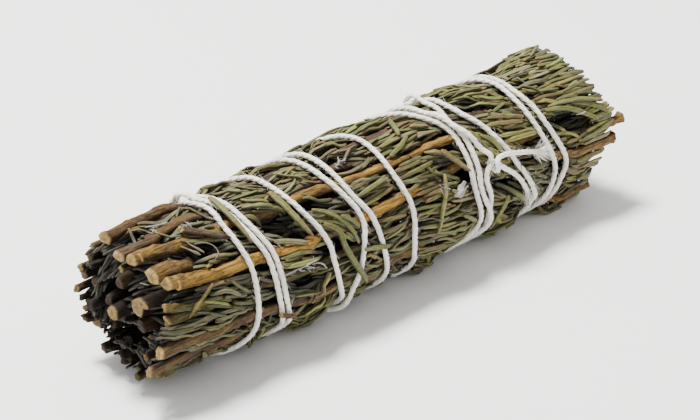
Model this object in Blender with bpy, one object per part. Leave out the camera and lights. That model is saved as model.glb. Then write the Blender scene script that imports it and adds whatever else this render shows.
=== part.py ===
"""A bundle of dried rosemary, wound with one length of cotton twine and knotted.

The bundle lies on its side on the plane z = 0. +X runs along it towards the leafy tips,
the cut ends of the stems are at -X, and the origin is under the middle of its box.

Places on the round bundle are given as (x, angle, radius): x along the bundle, the angle
from straight up towards -Y, and the radius from the bundle's axis.
"""

import math
import random

import bmesh
import bpy
import numpy as np
from mathutils import Vector

MM = 0.001
COLLECTION = "rosemary_bundle"
WELD = 0.0001 * MM

# The whole bundle
AXIS_HEIGHT = 13.4 * MM
ORIGIN_SHIFT_X = -1.5 * MM
ORIGIN_SHIFT_Y = -0.32 * MM
LEAF_REACH = 13.5 * MM
BASE_SPREAD = 1.5 * MM
BASE_HALF_ANGLE = (30, 46)
FLOOR_GAP = 0.02 * MM

# The twine
TWINE_DIAMETER = 1.0 * MM
WRAP_RADIUS = 13.25 * MM
WRAP_TAPER = 0.35 * MM
WRAP_TAPER_AT = 36 * MM
STRAND_SPACING = 1.32 * MM
CLIMB = 0.45
KNOT_MARK = 0.01 * MM
TWINE_STEP = 0.9 * MM
TWINE_TOLERANCE = 0.14 * MM
TWINE_FLOOR_GAP = 0.15 * MM
TWINE_MOST_APART = 60
TWINE_ROUNDNESS = 2
LEAF_TO_TWINE = 0.42 * MM
CLIMB_SWEEPS = 12
SAME_STRETCH = 5 * MM

# The sprigs
STEM_ROUNDNESS = 1
SEGMENT = 7.0 * MM
CELL_MARGIN = 0.2 * MM
TIP_RADIUS = 0.45 * MM
LEAF_LENGTHS = (5.5, 7.0, 8.5, 10.0, 11.5, 13.0)
LEAF_LENGTH_SPREAD = 0.08
LENGTH_WORTH = 0.07
LEAF_LEAST_RISE = 0.3 * MM
LEAF_SHARES = (0.4, 0.7, 1.0)
LEAST_SHARE = 0.1
MOST_ROOM = 10 * MM
LEAST_TOWARDS = 0.05
STRAND_HALF_ANGLE = 9
SIDE_ANGLE = 60
BARE_END = 9.0 * MM
SEED = 7

# The loose bits
LOOSE_RADIUS = 14.4 * MM
LOOSE_STEP = 2.4 * MM
LOOSE_END_SHARE = 0.45

# Where each outer sprig lies: its angle at seven stations along the bundle.
STATIONS = (-54, -38, -20, 0, 20, 40, 54)
OUTER_RADIUS = 11.3 * MM
BOTTOM_RADIUS = 10.7 * MM
RAISED = 0.6 * MM
RAISED_FOR = 6 * MM
RAISED_EASES_OVER = 7 * MM
OUTER_TRACKS = {
    "a": (-34, -19, -8, -1, 3, 2, 0),
    "b": (9, 1, 11, 16, 20, 20, 18),
    "c": (23, 24, 29, 34, 34, 38, 36),
    "d": (47, 57, 65, 62, 58, 60, 60),
    "e": (77, 80, 87, 87, 82, 83, 87),
    "f": (100, 103, 113, 112, 106, 106, 110),
    "g": (120, 122, 133, 132, 129, 130, 135),
    "h": (143, 144, 151, 151, 150, 151, 154),
    "i": (168, 169, 171, 171, 171, 171, 172),
    "j": (190, 191, 190, 190, 190, 190, 190),
    "k": (213, 212, 210, 210, 211, 212, 211),
    "l": (236, 234, 232, 231, 233, 234, 233),
    "m": (258, 256, 254, 253, 255, 256, 255),
    "n": (281, 278, 276, 276, 277, 278, 278),
    "o": (304, 302, 299, 299, 300, 301, 301),
    "p": (324, 322, 324, 328, 331, 331, 330),
}
BOTTOM_TRACKS = ("i", "j")
# The bundle rests on leaves of these, which point straight down if they slope down this much
RESTING_TRACKS = ("h", "i", "j", "k")
RESTING_SLOPE = -0.85
# The leaves of this one come from the other faces, so that they miss their neighbours'
TURNED_TRACKS = ("h",)
STRAIGHT_DOWN = np.array((0.0, -1.0))

# Each outer sprig: track, x of its cut end, x of its tip, stem diameter, raised cut end.
# Two of them lie the other way round, with the tip at a lower x than the cut end.
OUTER_SPRIGS = (
    ("a", -51.0, 44.0, 1.9, True),
    ("b", -56.0, 36.0, 1.7, True),
    ("c", -55.0, 41.0, 1.8, True),
    ("d", -52.0, 38.0, 2.2, True),
    ("e", -53.5, 12.0, 1.9, False),
    ("e", 54.5, 27.5, 1.9, True),
    ("f", -56.0, 39.0, 2.2, True),
    ("g", -57.5, 14.0, 2.0, True),
    ("g", 53.0, 30.0, 1.9, False),
    ("h", -54.0, 37.0, 1.9, False),
    ("i", -52.5, 41.0, 1.9, False),
    ("j", -55.0, 43.0, 1.8, False),
    ("k", -49.5, 38.0, 2.0, False),
    ("l", -51.0, 42.0, 2.1, True),
    ("m", -56.0, 36.0, 1.8, False),
    ("n", -52.0, 43.0, 2.0, True),
    ("o", -54.5, 40.0, 1.9, False),
    ("p", -39.0, 42.0, 1.6, False),
)

# The sprigs inside, in two rings
MIDDLE_COUNT = 10
MIDDLE_RADIUS = 7.0 * MM
MIDDLE_FIRST_ANGLE = 18
MIDDLE_TURN = 7
CORE_COUNT = 4
CORE_RADIUS = 2.75 * MM
CORE_FIRST_ANGLE = 40
CORE_TURN = -9
INNER_CUT_X = (-56.0, -50.5)
INNER_TIP_X = (36.0, 44.0)
INNER_DIAMETER = (1.9, 2.3)

# Loose bits caught on the outside: name, width, thickness, and places as (x, angle)
LOOSE_BITS = (
    ("bent_stalk", 1.3, 1.1, ((-16.1, 56), (-15.3, 70), (-13.8, 85), (-11.2, 101), (-7.5, 115))),
    ("upright_stalk", 0.8, 0.7, ((9.9, 58), (8.5, 74), (7.4, 86), (6.4, 100))),
    ("crossing_twig", 0.9, 0.8, ((-43.8, 10), (-40.2, 24), (-36.9, 38))),
    ("short_twig", 0.9, 0.8, ((-31.0, 106), (-28.2, 112), (-25.6, 118))),
    ("straw", 0.7, 0.6, ((-44.2, 63), (-47.2, 71), (-50.4, 79))),
    ("loose_needle_01", 1.2, 0.6, ((-22.4, 12), (-21.9, 33), (-21.2, 48), (-20.6, 61))),
    ("loose_needle_02", 1.1, 0.6, ((-33.2, -4), (-34.0, 20), (-33.6, 46))),
    ("loose_needle_03", 0.9, 0.6, ((-10.5, 82), (-7.0, 84), (-3.4, 85))),
    ("loose_needle_04", 1.3, 0.6, ((11.5, 42), (13.8, 52), (16.2, 64))),
    ("loose_needle_05", 1.0, 0.6, ((25.0, 96), (23.5, 112), (23.0, 128))),
    ("loose_needle_06", 1.0, 0.6, ((-4.0, -38), (3.0, -42), (9.0, -45))),
    ("loose_needle_07", 1.1, 0.6, ((-47.0, -62), (-41.0, -70), (-35.5, -75))),
    ("loose_needle_08", 1.0, 0.6, ((-8.5, -141), (-3.5, -139), (1.5, -138))),
    ("loose_needle_09", 1.1, 0.6, ((20.5, -100), (26.0, -92), (31.0, -88))),
)
WOODY_BITS = ("crossing_twig", "short_twig", "straw")

# The twine's route, from one tail round to the other: (x, angle) for each turn, whose angles
# start again from the top. A third value is the height over the wrap radius, in the knot.
TWINE_TURNS = (
    (
        (30.9, 115), (30.2, 108), (29.4, 100), (28.4, 91), (27.4, 83.5), (26.2, 78.5, 0.3),
        (24.9, 74.3, 0.9), (23.1, 70, 1.45), (21.7, 74, 1.2), (21.2, 79.5, 0.5), (21.6, 88),
        (22.2, 98), (22.2, 110), (22.3, 126), (22.5, 150), (22.4, 180), (20.8, 207),
        (13.5, 229), (3.0, 249), (-9.0, 269), (-20.0, 288), (-29.0, 307), (-34.0, 327),
    ),
    (
        (-35.3, -19), (-35.1, 5), (-35.9, 25), (-35.8, 42), (-35.3, 60), (-35.2, 85),
        (-34.8, 108), (-34.9, 124), (-36.2, 140), (-37.6, 158), (-38.0, 190), (-37.3, 225),
        (-36.3, 260), (-35.2, 295), (-34.4, 322),
    ),
    (
        (-33.9, -16), (-33.3, 8), (-33.2, 26), (-32.5, 42), (-31.5, 58), (-31.0, 78),
        (-30.3, 95), (-28.8, 114), (-27.3, 131), (-27.8, 145), (-28.8, 160), (-30.0, 190),
        (-30.8, 225), (-31.6, 260), (-32.2, 295), (-32.5, 322),
    ),
    (
        (-32.4, -16), (-31.9, 8), (-31.8, 26), (-31.1, 42), (-30.1, 58), (-29.6, 78),
        (-28.9, 95), (-27.4, 114), (-25.9, 131), (-26.2, 145), (-27.0, 165), (-27.0, 200),
        (-26.5, 235), (-25.9, 270), (-25.0, 300), (-23.9, 325),
    ),
    (
        (-22.4, -12), (-22.3, 6), (-21.8, 24), (-20.8, 41), (-19.4, 56), (-18.3, 70),
        (-17.7, 86), (-16.3, 104), (-14.7, 118), (-13.0, 132), (-12.8, 143), (-14.0, 158),
        (-15.0, 185), (-15.4, 220), (-15.5, 255), (-14.9, 290), (-14.0, 322),
    ),
    (
        (-13.1, -14), (-12.9, 6), (-12.4, 26), (-11.3, 43), (-10.2, 57), (-9.9, 69),
        (-10.6, 80), (-11.2, 95), (-11.4, 110), (-11.6, 124), (-12.8, 137), (-14.8, 151),
        (-16.6, 174), (-16.9, 200), (-16.0, 222), (-14.4, 246), (-13.0, 272), (-11.8, 300),
        (-10.8, 325),
    ),
    (
        (-10.1, -14), (-10.3, 8), (-10.3, 26), (-10.0, 40), (-9.3, 50), (-8.0, 61),
        (-7.1, 76), (-6.1, 92), (-4.9, 106), (-3.7, 120), (-3.2, 134), (-4.0, 148),
        (-5.2, 170), (-6.0, 205), (-6.1, 240), (-5.4, 275), (-3.6, 303), (-1.6, 326),
    ),
    (
        (0.1, -15), (0.6, 2), (0.4, 20), (0.3, 40), (0.7, 53), (1.4, 67), (1.5, 82),
        (1.5, 96), (2.2, 110), (3.4, 123), (3.6, 136), (2.8, 150), (2.5, 175), (3.2, 210),
        (4.4, 245), (6.2, 277), (8.3, 303), (10.7, 328),
    ),
    (
        (13.1, -14), (14.4, 1), (15.4, 12), (16.5, 21), (17.0, 32), (17.0, 50), (16.9, 62),
        (16.7, 74), (17.2, 86), (18.2, 98), (19.0, 110), (18.7, 120), (17.0, 132),
        (15.0, 146), (13.3, 166), (12.5, 195), (13.0, 230), (14.6, 262), (17.0, 295),
        (19.6, 326),
    ),
    (
        (21.8, -14), (21.6, 4), (22.2, 20), (23.9, 35), (25.2, 49), (26.7, 62), (28.1, 75),
        (29.9, 86), (31.3, 99), (32.6, 112), (33.4, 126), (33.3, 145), (32.7, 170),
        (32.1, 200), (31.8, 232), (32.1, 264), (32.8, 295), (33.6, 325),
    ),
    (
        (34.4, -15), (34.7, 4), (34.4, 22), (34.6, 38), (35.1, 52), (36.0, 67), (37.0, 79),
        (37.8, 91), (37.8, 106), (37.6, 122), (36.6, 137), (35.7, 154), (35.3, 180),
        (35.1, 212), (35.2, 245), (35.5, 280), (35.8, 315),
    ),
    (
        (36.1, -12), (36.0, 6), (36.0, 20), (36.8, 36), (37.5, 52), (38.5, 66), (40.0, 80),
        (40.9, 92), (40.2, 106), (39.8, 121), (39.5, 137), (39.4, 155), (39.2, 180),
        (38.4, 205), (36.4, 226), (33.0, 245), (29.4, 262), (26.2, 279), (23.4, 297),
        (21.3, 316),
    ),
    (
        (20.0, -14), (19.6, 2), (18.8, 13), (18.4, 24), (18.3, 38), (18.3, 52), (18.2, 64),
        (18.2, 75), (18.8, 86), (19.7, 96), (20.4, 107), (20.2, 120), (19.4, 138),
        (18.8, 160), (18.0, 190), (17.2, 225), (16.8, 260), (16.6, 295), (16.5, 325),
    ),
    (
        (16.5, -14), (16.5, 3), (17.0, 14), (17.8, 26), (18.7, 38), (19.9, 51), (21.0, 61),
        (22.0, 66, 0.0), (22.9, 70.5, 0.0), (23.5, 75, 0.3), (23.7, 78.5, 1.4),
        (23.5, 75.5, 2.5), (23.5, 69, 2.65), (24.2, 64.8, 1.6), (25.7, 65, 1.4),
        (27.2, 66.5, 1.35), (29.2, 70), (31.6, 73), (33.6, 76), (35.0, 78),
    ),
)

# Colours (red, green, blue) and roughness
LEAF_GREEN = (0.22, 0.20, 0.09)
LEAF_BROWN = (0.30, 0.20, 0.10)
STEM_BROWN = (0.36, 0.22, 0.11)
TWINE_WHITE = (0.80, 0.76, 0.66)
DRY_ROUGHNESS = 0.8


def clear_scene():
    for obj in list(bpy.data.objects):
        bpy.data.objects.remove(obj)


def make_collection(name):
    collection = bpy.data.collections.new(name)
    bpy.context.scene.collection.children.link(collection)
    return collection


def make_material(name, colour):
    material = bpy.data.materials.new(name)
    material.use_nodes = True
    shader = material.node_tree.nodes["Principled BSDF"]
    shader.inputs["Base Color"].default_value = (*colour, 1.0)
    shader.inputs["Roughness"].default_value = DRY_ROUGHNESS
    shader.inputs["Metallic"].default_value = 0.0
    return material


def place(x, angle, radius):
    """The point in space at x along the bundle, with its angle in degrees and its radius."""
    turn = math.radians(angle)
    y = -radius * math.sin(turn)
    z = AXIS_HEIGHT + radius * math.cos(turn)
    return Vector((x - ORIGIN_SHIFT_X, y - ORIGIN_SHIFT_Y, z))


def ease(share):
    """From 0 to 1 as the share does, but slowly at both ends."""
    share = min(max(share, 0.0), 1.0)
    return share * share * (3 - 2 * share)


def smooth_between(stations, values, x):
    """The value at x, easing from each station to the next."""
    if x <= stations[0]:
        return values[0]
    for low, high, first, second in zip(stations, stations[1:], values, values[1:]):
        if x <= high:
            return first + (second - first) * ease((x - low) / (high - low))
    return values[-1]


def outer_angle(track, x):
    return smooth_between(STATIONS, OUTER_TRACKS[track], x / MM)


def outer_track(track):
    """A function of x that gives an outer sprig's angle and radius."""
    radius = BOTTOM_RADIUS if track in BOTTOM_TRACKS else OUTER_RADIUS
    return lambda x: (outer_angle(track, x), radius)


def ring_track(index, count, radius, first_angle, turn):
    """The same for one sprig of an inner ring, which turns slowly along the bundle."""
    start = first_angle + 360 * index / count
    half_length = STATIONS[-1] * MM
    return lambda x: (start + turn * x / half_length, radius)


def all_tracks():
    """The track of every outer and inner sprig, by name."""
    tracks = {name: outer_track(name) for name in OUTER_TRACKS}
    for index in range(MIDDLE_COUNT):
        tracks[f"middle_{index}"] = ring_track(
            index, MIDDLE_COUNT, MIDDLE_RADIUS, MIDDLE_FIRST_ANGLE, MIDDLE_TURN
        )
    for index in range(CORE_COUNT):
        tracks[f"core_{index}"] = ring_track(
            index, CORE_COUNT, CORE_RADIUS, CORE_FIRST_ANGLE, CORE_TURN
        )
    return tracks


def raised_end(x, cut, length_sign):
    """How far an outer stem stands out near its bare cut end, clear of the first wraps."""
    from_cut = (x - cut) * length_sign
    return RAISED * (1 - ease((from_cut - RAISED_FOR) / RAISED_EASES_OVER))


def wrap_radius(x):
    """How far the middle of a strand is from the axis, where it crosses nothing."""
    return WRAP_RADIUS - WRAP_TAPER * (x / WRAP_TAPER_AT) ** 2


def round_spline(points, step):
    """Points about a step apart on a smooth curve through the given points."""
    points = np.array(points, dtype=float)
    ends = 2 * points[[0, -1]] - points[[1, -2]]
    points = np.vstack([ends[:1], points, ends[1:]])
    samples = []
    for p0, p1, p2, p3 in zip(points, points[1:], points[2:], points[3:]):
        gaps = [np.linalg.norm(b - a) ** 0.5 for a, b in ((p0, p1), (p1, p2), (p2, p3))]
        t0, t1, t2, t3 = np.cumsum([0.0] + gaps)
        count = max(1, round(np.linalg.norm(p2 - p1) / step))
        for t in np.linspace(t1, t2, count, endpoint=False):
            a1 = (t1 - t) / (t1 - t0) * p0 + (t - t0) / (t1 - t0) * p1
            a2 = (t2 - t) / (t2 - t1) * p1 + (t - t1) / (t2 - t1) * p2
            a3 = (t3 - t) / (t3 - t2) * p2 + (t - t2) / (t3 - t2) * p3
            b1 = (t2 - t) / (t2 - t0) * a1 + (t - t0) / (t2 - t0) * a2
            b2 = (t3 - t) / (t3 - t1) * a2 + (t - t1) / (t3 - t1) * a3
            samples.append((t2 - t) / (t2 - t1) * b1 + (t - t1) / (t2 - t1) * b2)
    samples.append(points[-2])
    return np.array(samples)


def twine_samples():
    """Close points along the twine, as x, angle and height over the wrap radius.

    Each later stretch climbs over every earlier one that it crosses.
    """
    flat = []
    for turn, route in enumerate(TWINE_TURNS):
        for x, angle, *height in route:
            around = math.radians(angle + 360 * turn) * WRAP_RADIUS
            knot = KNOT_MARK if height else 0.0
            flat.append((x * MM, around, height[0] * MM if height else 0.0, knot))
    x, around, height, knot = round_spline(flat, TWINE_STEP).T
    height = np.maximum(height, 0.0)
    in_knot = knot > KNOT_MARK / 2
    along = np.concatenate([[0.0], np.cumsum(np.hypot(np.diff(x), np.diff(around)))])
    girth = 2 * math.pi * WRAP_RADIUS
    round_gap = around[:, None] - around[None, :]
    round_gap -= girth * np.round(round_gap / girth)
    apart = np.hypot(x[:, None] - x[None, :], round_gap)
    near = (apart < STRAND_SPACING) & (along[:, None] - along[None, :] > SAME_STRETCH)
    near &= ~(in_knot[:, None] & in_knot[None, :])
    rise = np.sqrt(np.maximum(STRAND_SPACING**2 - apart**2, 0.0))
    reach = np.abs(along[:, None] - along[None, :]) * CLIMB
    for _ in range(CLIMB_SWEEPS):
        over = np.where(near, height[None, :] + rise, 0.0).max(axis=1)
        height = np.where(in_knot, height, np.maximum(height, over))
        climb = np.where(in_knot[None, :], 0.0, height[None, :] - reach).max(axis=1)
        height = np.where(in_knot, height, np.maximum(height, climb))
    return x, np.degrees(around / WRAP_RADIUS), height


def thin_out(points, tolerance):
    """Drops points while the line through the rest stays within the tolerance.

    At least one in every TWINE_MOST_APART points is kept.
    """
    keep = {0, len(points) - 1}
    spans = [(0, len(points) - 1)]
    while spans:
        first, last = spans.pop()
        if last - first < 2:
            continue
        start, way = points[first], points[last] - points[first]
        between = points[first + 1 : last] - start
        share = np.clip(between @ way / max(way @ way, 1e-12), 0, 1)
        off = np.linalg.norm(between - share[:, None] * way, axis=1)
        worst = int(off.argmax())
        if off[worst] > tolerance:
            middle = first + 1 + worst
        elif last - first > TWINE_MOST_APART:
            middle = first + 1 + (last - first) // 2
        else:
            continue
        keep.add(middle)
        spans += [(first, middle), (middle, last)]
    return points[sorted(keep)]


def twine_path(samples):
    """The twine's centre line in space, pressed flat where the bundle rests on it."""
    lowest = TWINE_DIAMETER / 2 + TWINE_FLOOR_GAP
    points = []
    for x, angle, height in zip(*samples):
        point = place(x, angle, wrap_radius(x) + height)
        points.append((point.x, point.y, max(point.z, lowest)))
    return thin_out(np.array(points), TWINE_TOLERANCE)


def tube(name, points, radii, roundness, material):
    """A curve object along the points, with its radius at each, and filled ends."""
    curve = bpy.data.curves.new(name, "CURVE")
    curve.dimensions = "3D"
    curve.bevel_depth = 1.0
    curve.bevel_resolution = roundness
    curve.use_fill_caps = True
    spline = curve.splines.new("POLY")
    spline.points.add(len(points) - 1)
    for spline_point, point, radius in zip(spline.points, points, radii):
        spline_point.co = (*point, 1.0)
        spline_point.radius = radius
    curve.materials.append(material)
    return bpy.data.objects.new(name, curve)


def as_mesh(obj, collection):
    """The curve object made a closed mesh object of the same name."""
    collection.objects.link(obj)
    graph = bpy.context.evaluated_depsgraph_get()
    mesh = bpy.data.meshes.new_from_object(obj.evaluated_get(graph))
    name, matrix = obj.name, obj.matrix_world.copy()
    bpy.data.objects.remove(obj)
    mesh.name = name
    solid = bmesh.new()
    solid.from_mesh(mesh)
    bmesh.ops.remove_doubles(solid, verts=solid.verts, dist=WELD)
    bmesh.ops.recalc_face_normals(solid, faces=solid.faces)
    solid.to_mesh(mesh)
    solid.free()
    mesh.shade_smooth()
    made = bpy.data.objects.new(name, mesh)
    made.matrix_world = matrix
    collection.objects.link(made)
    return made


def make_twine(collection, path, material):
    obj = tube("twine", path, [TWINE_DIAMETER / 2] * len(path), TWINE_ROUNDNESS, material)
    return as_mesh(obj, collection)


def offset_on(track, x):
    """Where a track runs at x, as a flat vector from the bundle's axis."""
    angle, radius = track(x)
    turn = math.radians(angle)
    return np.array((-radius * math.sin(turn), radius * math.cos(turn)))


def room_to_neighbours(tracks, own, x, direction):
    """How far a leaf may stand off its stem before it leaves the stem's own share of room."""
    centre = offset_on(tracks[own], x)
    room = MOST_ROOM
    for name, track in tracks.items():
        if name == own:
            continue
        gap = offset_on(track, x) - centre
        distance = np.linalg.norm(gap)
        towards = direction @ gap / distance
        if towards > LEAST_TOWARDS:
            room = min(room, (distance / 2 - CELL_MARGIN) / towards)
    return room


def room_to_circle(centre, direction, radius):
    """How far one can go from the centre in the direction before reaching the radius."""
    along = centre @ direction
    inside = along**2 - centre @ centre + radius**2
    return -along + math.sqrt(max(inside, 0.0))


def room_to_floor(centre, direction, lowest):
    """How far one can go down from the centre before reaching the lowest height."""
    if direction[1] > -LEAST_TOWARDS:
        return MOST_ROOM
    return (AXIS_HEIGHT + centre[1] - lowest) / -direction[1]


def outline_radius(angle):
    """How far the leaves reach from the axis: further at the bottom, where they splay flat."""
    from_bottom = abs(angle % 360 - 180)
    full, none = BASE_HALF_ANGLE
    return LEAF_REACH + BASE_SPREAD * (1 - ease((from_bottom - full) / (none - full)))


def tip_angle(tip):
    """The angle round the bundle of a flat vector from its axis."""
    return math.degrees(math.atan2(-tip[0], tip[1]))


def strands_over(samples, angle, low_x, high_x):
    """The x of each place where the twine crosses over this angle between the two x."""
    x, around, _ = samples
    apart = np.abs((around - angle + 180) % 360 - 180)
    return x[(x > low_x) & (x < high_x) & (apart < STRAND_HALF_ANGLE)]


def leaf_room(tracks, samples, own, base_x, tip_x, direction):
    """The greatest stand-off for a leaf's tip from its stem's centre line."""
    track = tracks[own]
    tip_centre = offset_on(track, tip_x)
    room = room_to_circle(tip_centre, direction, LEAF_REACH)
    outline = outline_radius(tip_angle(tip_centre + direction * room))
    room = room_to_circle(tip_centre, direction, outline)
    room = min(room, room_to_floor(tip_centre, direction, FLOOR_GAP))
    for share in LEAF_SHARES:
        x = base_x + share * (tip_x - base_x)
        room = min(room, room_to_neighbours(tracks, own, x, direction) / share**0.5)
    angle = tip_angle(tip_centre + direction * room)
    reach = TWINE_DIAMETER / 2 + LEAF_TO_TWINE
    low_x, high_x = sorted((base_x, tip_x))
    sign = 1 if tip_x > base_x else -1
    face_start = base_x - sign * SEGMENT / 2
    for strand_x in strands_over(samples, angle, low_x - SEGMENT / 2, high_x + reach):
        share = (strand_x + sign * reach - face_start) / (tip_x - face_start)
        if share < 0:
            continue
        centre = offset_on(track, strand_x)
        under = room_to_circle(centre, direction, wrap_radius(strand_x) - reach)
        lowest = TWINE_DIAMETER + TWINE_FLOOR_GAP + LEAF_TO_TWINE
        under = min(under, room_to_floor(centre, direction, lowest))
        room = min(room, under / min(max(share, LEAST_SHARE), 1.0))
    return room


def draw_out_leaves(obj, tracks, samples, own, ends, rng):
    """Draws every other face of the leafy stretch out into a leaf that lies along the stem."""
    cut, tip = ends
    sign = 1 if tip > cut else -1
    solid = bmesh.new()
    solid.from_mesh(obj.data)
    shift = Vector((ORIGIN_SHIFT_X, ORIGIN_SHIFT_Y, -AXIS_HEIGHT))
    for face in list(solid.faces):
        if len(face.verts) != 4:
            continue
        middle = face.calc_center_median() + shift
        from_cut = (middle.x - cut) * sign
        centre = offset_on(tracks[own], middle.x)
        outward = np.array((middle.y, middle.z)) - centre
        distance = np.linalg.norm(outward)
        direction = outward / distance
        side = round(math.degrees(math.atan2(*direction)) / SIDE_ANGLE)
        order = side + int(from_cut / SEGMENT) + (own in TURNED_TRACKS)
        if from_cut < BARE_END or order % 2:
            continue
        if own in RESTING_TRACKS and direction[1] < RESTING_SLOPE:
            direction = STRAIGHT_DOWN
        stretch = sign * MM * rng.uniform(1 - LEAF_LENGTH_SPREAD, 1 + LEAF_LENGTH_SPREAD)
        choices = []
        for length in LEAF_LENGTHS:
            tip_x = middle.x + length * stretch
            room = leaf_room(tracks, samples, own, middle.x, tip_x, direction)
            choices.append((room + LENGTH_WORTH * length * MM, room, tip_x))
        _, room, tip_x = max(choices)
        if room < distance + LEAF_LEAST_RISE:
            continue
        tip_offset = offset_on(tracks[own], tip_x) + direction * room
        drawn = bmesh.ops.poke(solid, faces=[face])["verts"][0]
        drawn.co = Vector((tip_x, *tip_offset)) - shift
    solid.to_mesh(obj.data)
    solid.free()


def make_sprig(name, collection, tracks, samples, own, ends, diameter, raised, material, rng):
    """One sprig: a stem that thins towards its tip, with the leaves that grow from it."""
    cut, tip = ends
    sign = 1 if tip > cut else -1
    count = max(3, round(abs(tip - cut) / SEGMENT) + 1)
    points, radii = [], []
    for share in np.linspace(0, 1, count):
        x = cut + (tip - cut) * share
        angle, radius = tracks[own](x)
        if raised:
            radius += raised_end(x, cut, sign)
        points.append(place(x, angle, radius))
        radii.append(diameter / 2 + (TIP_RADIUS - diameter / 2) * share)
    obj = as_mesh(tube(name, points, radii, STEM_ROUNDNESS, material), collection)
    draw_out_leaves(obj, tracks, samples, own, ends, rng)
    return obj


def make_sprigs(collection, samples, materials):
    """The outer sprigs, then the inner ones, numbered in that order."""
    rng = random.Random(SEED)
    tracks = all_tracks()
    plan = list(OUTER_SPRIGS)
    for own in tracks:
        if own not in OUTER_TRACKS:
            cut = rng.uniform(*INNER_CUT_X)
            tip = rng.uniform(*INNER_TIP_X)
            plan.append((own, cut, tip, rng.uniform(*INNER_DIAMETER), False))
    for number, (own, cut, tip, diameter, raised) in enumerate(plan, 1):
        material = materials[number % len(materials)]
        ends = (cut * MM, tip * MM)
        make_sprig(
            f"sprig_{number:02d}", collection, tracks, samples, own, ends,
            diameter * MM, raised, material, rng,
        )


def make_loose_bit(name, width, thickness, route, collection, material):
    """A broken-off needle or twig that follows the round of the bundle."""
    flat = [(x * MM, math.radians(angle) * LOOSE_RADIUS) for x, angle in route]
    line = round_spline(flat, LOOSE_STEP)
    points, radii = [], []
    for index, (x, around) in enumerate(line):
        share = index / (len(line) - 1)
        points.append(place(x, math.degrees(around / LOOSE_RADIUS), LOOSE_RADIUS))
        swell = (1 - LOOSE_END_SHARE) * math.sin(math.pi * share) ** 0.5
        radii.append(thickness * MM / 2 * (LOOSE_END_SHARE + swell))
    obj = as_mesh(tube(name, points, radii, STEM_ROUNDNESS, material), collection)
    flatten = width / thickness
    for vertex in obj.data.vertices:
        nearest = min(points, key=lambda point: (point - vertex.co).length)
        outward = Vector((0, nearest.y + ORIGIN_SHIFT_Y, nearest.z - AXIS_HEIGHT)).normalized()
        off = vertex.co - nearest
        across = off - outward * off.dot(outward)
        vertex.co = nearest + outward * off.dot(outward) + across * flatten
    return obj


def main():
    clear_scene()
    collection = make_collection(COLLECTION)
    leaf_green = make_material("leaf_green", LEAF_GREEN)
    leaf_brown = make_material("leaf_brown", LEAF_BROWN)
    stem_brown = make_material("stem_brown", STEM_BROWN)
    twine_white = make_material("twine_white", TWINE_WHITE)
    samples = twine_samples()
    make_twine(collection, twine_path(samples), twine_white)
    make_sprigs(collection, samples, (leaf_green, leaf_brown, stem_brown))
    for name, width, thickness, route in LOOSE_BITS:
        material = stem_brown if name in WOODY_BITS else leaf_green
        make_loose_bit(name, width, thickness, route, collection, material)


main()
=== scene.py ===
"""The looks of a bundle of dried rosemary that is wound with one length of cotton twine.

Lengths are in millimetres until a mesh is made. Places on the round bundle are given as
(x, angle, radius): x along the bundle towards the leafy tips, the angle from straight up
towards -Y, and the radius from the bundle's axis, as in the CAD model.
"""

import math
from collections import namedtuple

import bpy
import numpy as np
from mathutils import Matrix, Vector


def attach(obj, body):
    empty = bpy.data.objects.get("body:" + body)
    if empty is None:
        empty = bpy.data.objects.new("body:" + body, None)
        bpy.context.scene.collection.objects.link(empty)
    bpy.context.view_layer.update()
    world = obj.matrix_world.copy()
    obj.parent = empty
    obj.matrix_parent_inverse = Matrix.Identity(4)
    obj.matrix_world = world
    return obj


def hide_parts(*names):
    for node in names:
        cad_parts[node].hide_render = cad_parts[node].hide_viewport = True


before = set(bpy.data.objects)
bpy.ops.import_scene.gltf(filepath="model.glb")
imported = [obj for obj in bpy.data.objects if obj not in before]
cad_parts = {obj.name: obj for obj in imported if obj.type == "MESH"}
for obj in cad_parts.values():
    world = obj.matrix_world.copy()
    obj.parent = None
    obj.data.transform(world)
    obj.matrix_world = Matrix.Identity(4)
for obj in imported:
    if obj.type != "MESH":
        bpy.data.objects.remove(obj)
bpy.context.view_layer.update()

MM = 0.001

# The whole bundle, as in the CAD model
AXIS_HEIGHT = 13.4
SHIFT_X = 1.5
SHIFT_Y = 0.32
OUTER_RADIUS = 11.3
BOTTOM_RADIUS = 10.7
FLOOR_GAP = 0.04
# How much higher the raised cut ends lie, over which length, and the length in which they sink
RAISED = 0.6
RAISED_LENGTH = 6
RAISED_FADE = 7

# The cylinder that the twine is wound on, which is a little thinner towards its ends
WRAP_RADIUS = 13.25
WRAP_TAPER = 0.35
WRAP_TAPER_AT = 36.0
# How near two strands may lie, how steeply one climbs over another, how often that is worked
# out, and the length after which the twine can cross itself
STRAND_SPACING = 1.32
CLIMB = 0.45
STACKING_ROUNDS = 12
SELF_CROSSING = 5
# What marks the places in the knot, whose heights are given
KNOT_MARK = 0.01
# The step between samples along the twine, and the least height of its middle
TWINE_STEP = 0.35
TWINE_LOWEST = 0.65

# How far the leaves reach from the axis, along the bundle
OUTLINE_X = (-60, -50, -30, 0, 25, 45, 60)
OUTLINE_RADIUS = (13.1, 13.5, 13.9, 14.0, 13.65, 13.3, 13.4)
# Further at the bottom: how much, and the angles from straight down where it is all and none
BASE_SPREAD = 1.3
BASE_HALF_ANGLE = (30, 50)
# The widest angle from straight down at which the floor trims the outline
TRIMMED_ANGLE = 75
# A tuft at the leafy end: x, angle, height, half length in mm and half width in degrees
TUFT = (50.0, 336, 1.0, 5, 16)
# Less at the cut end: how much, the x and length of the change, and the angles and their fade
THIN_END = 0.9
THIN_END_X = -26
THIN_END_FADE = 14
THIN_ANGLES = (95, 215, 25)

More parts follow.
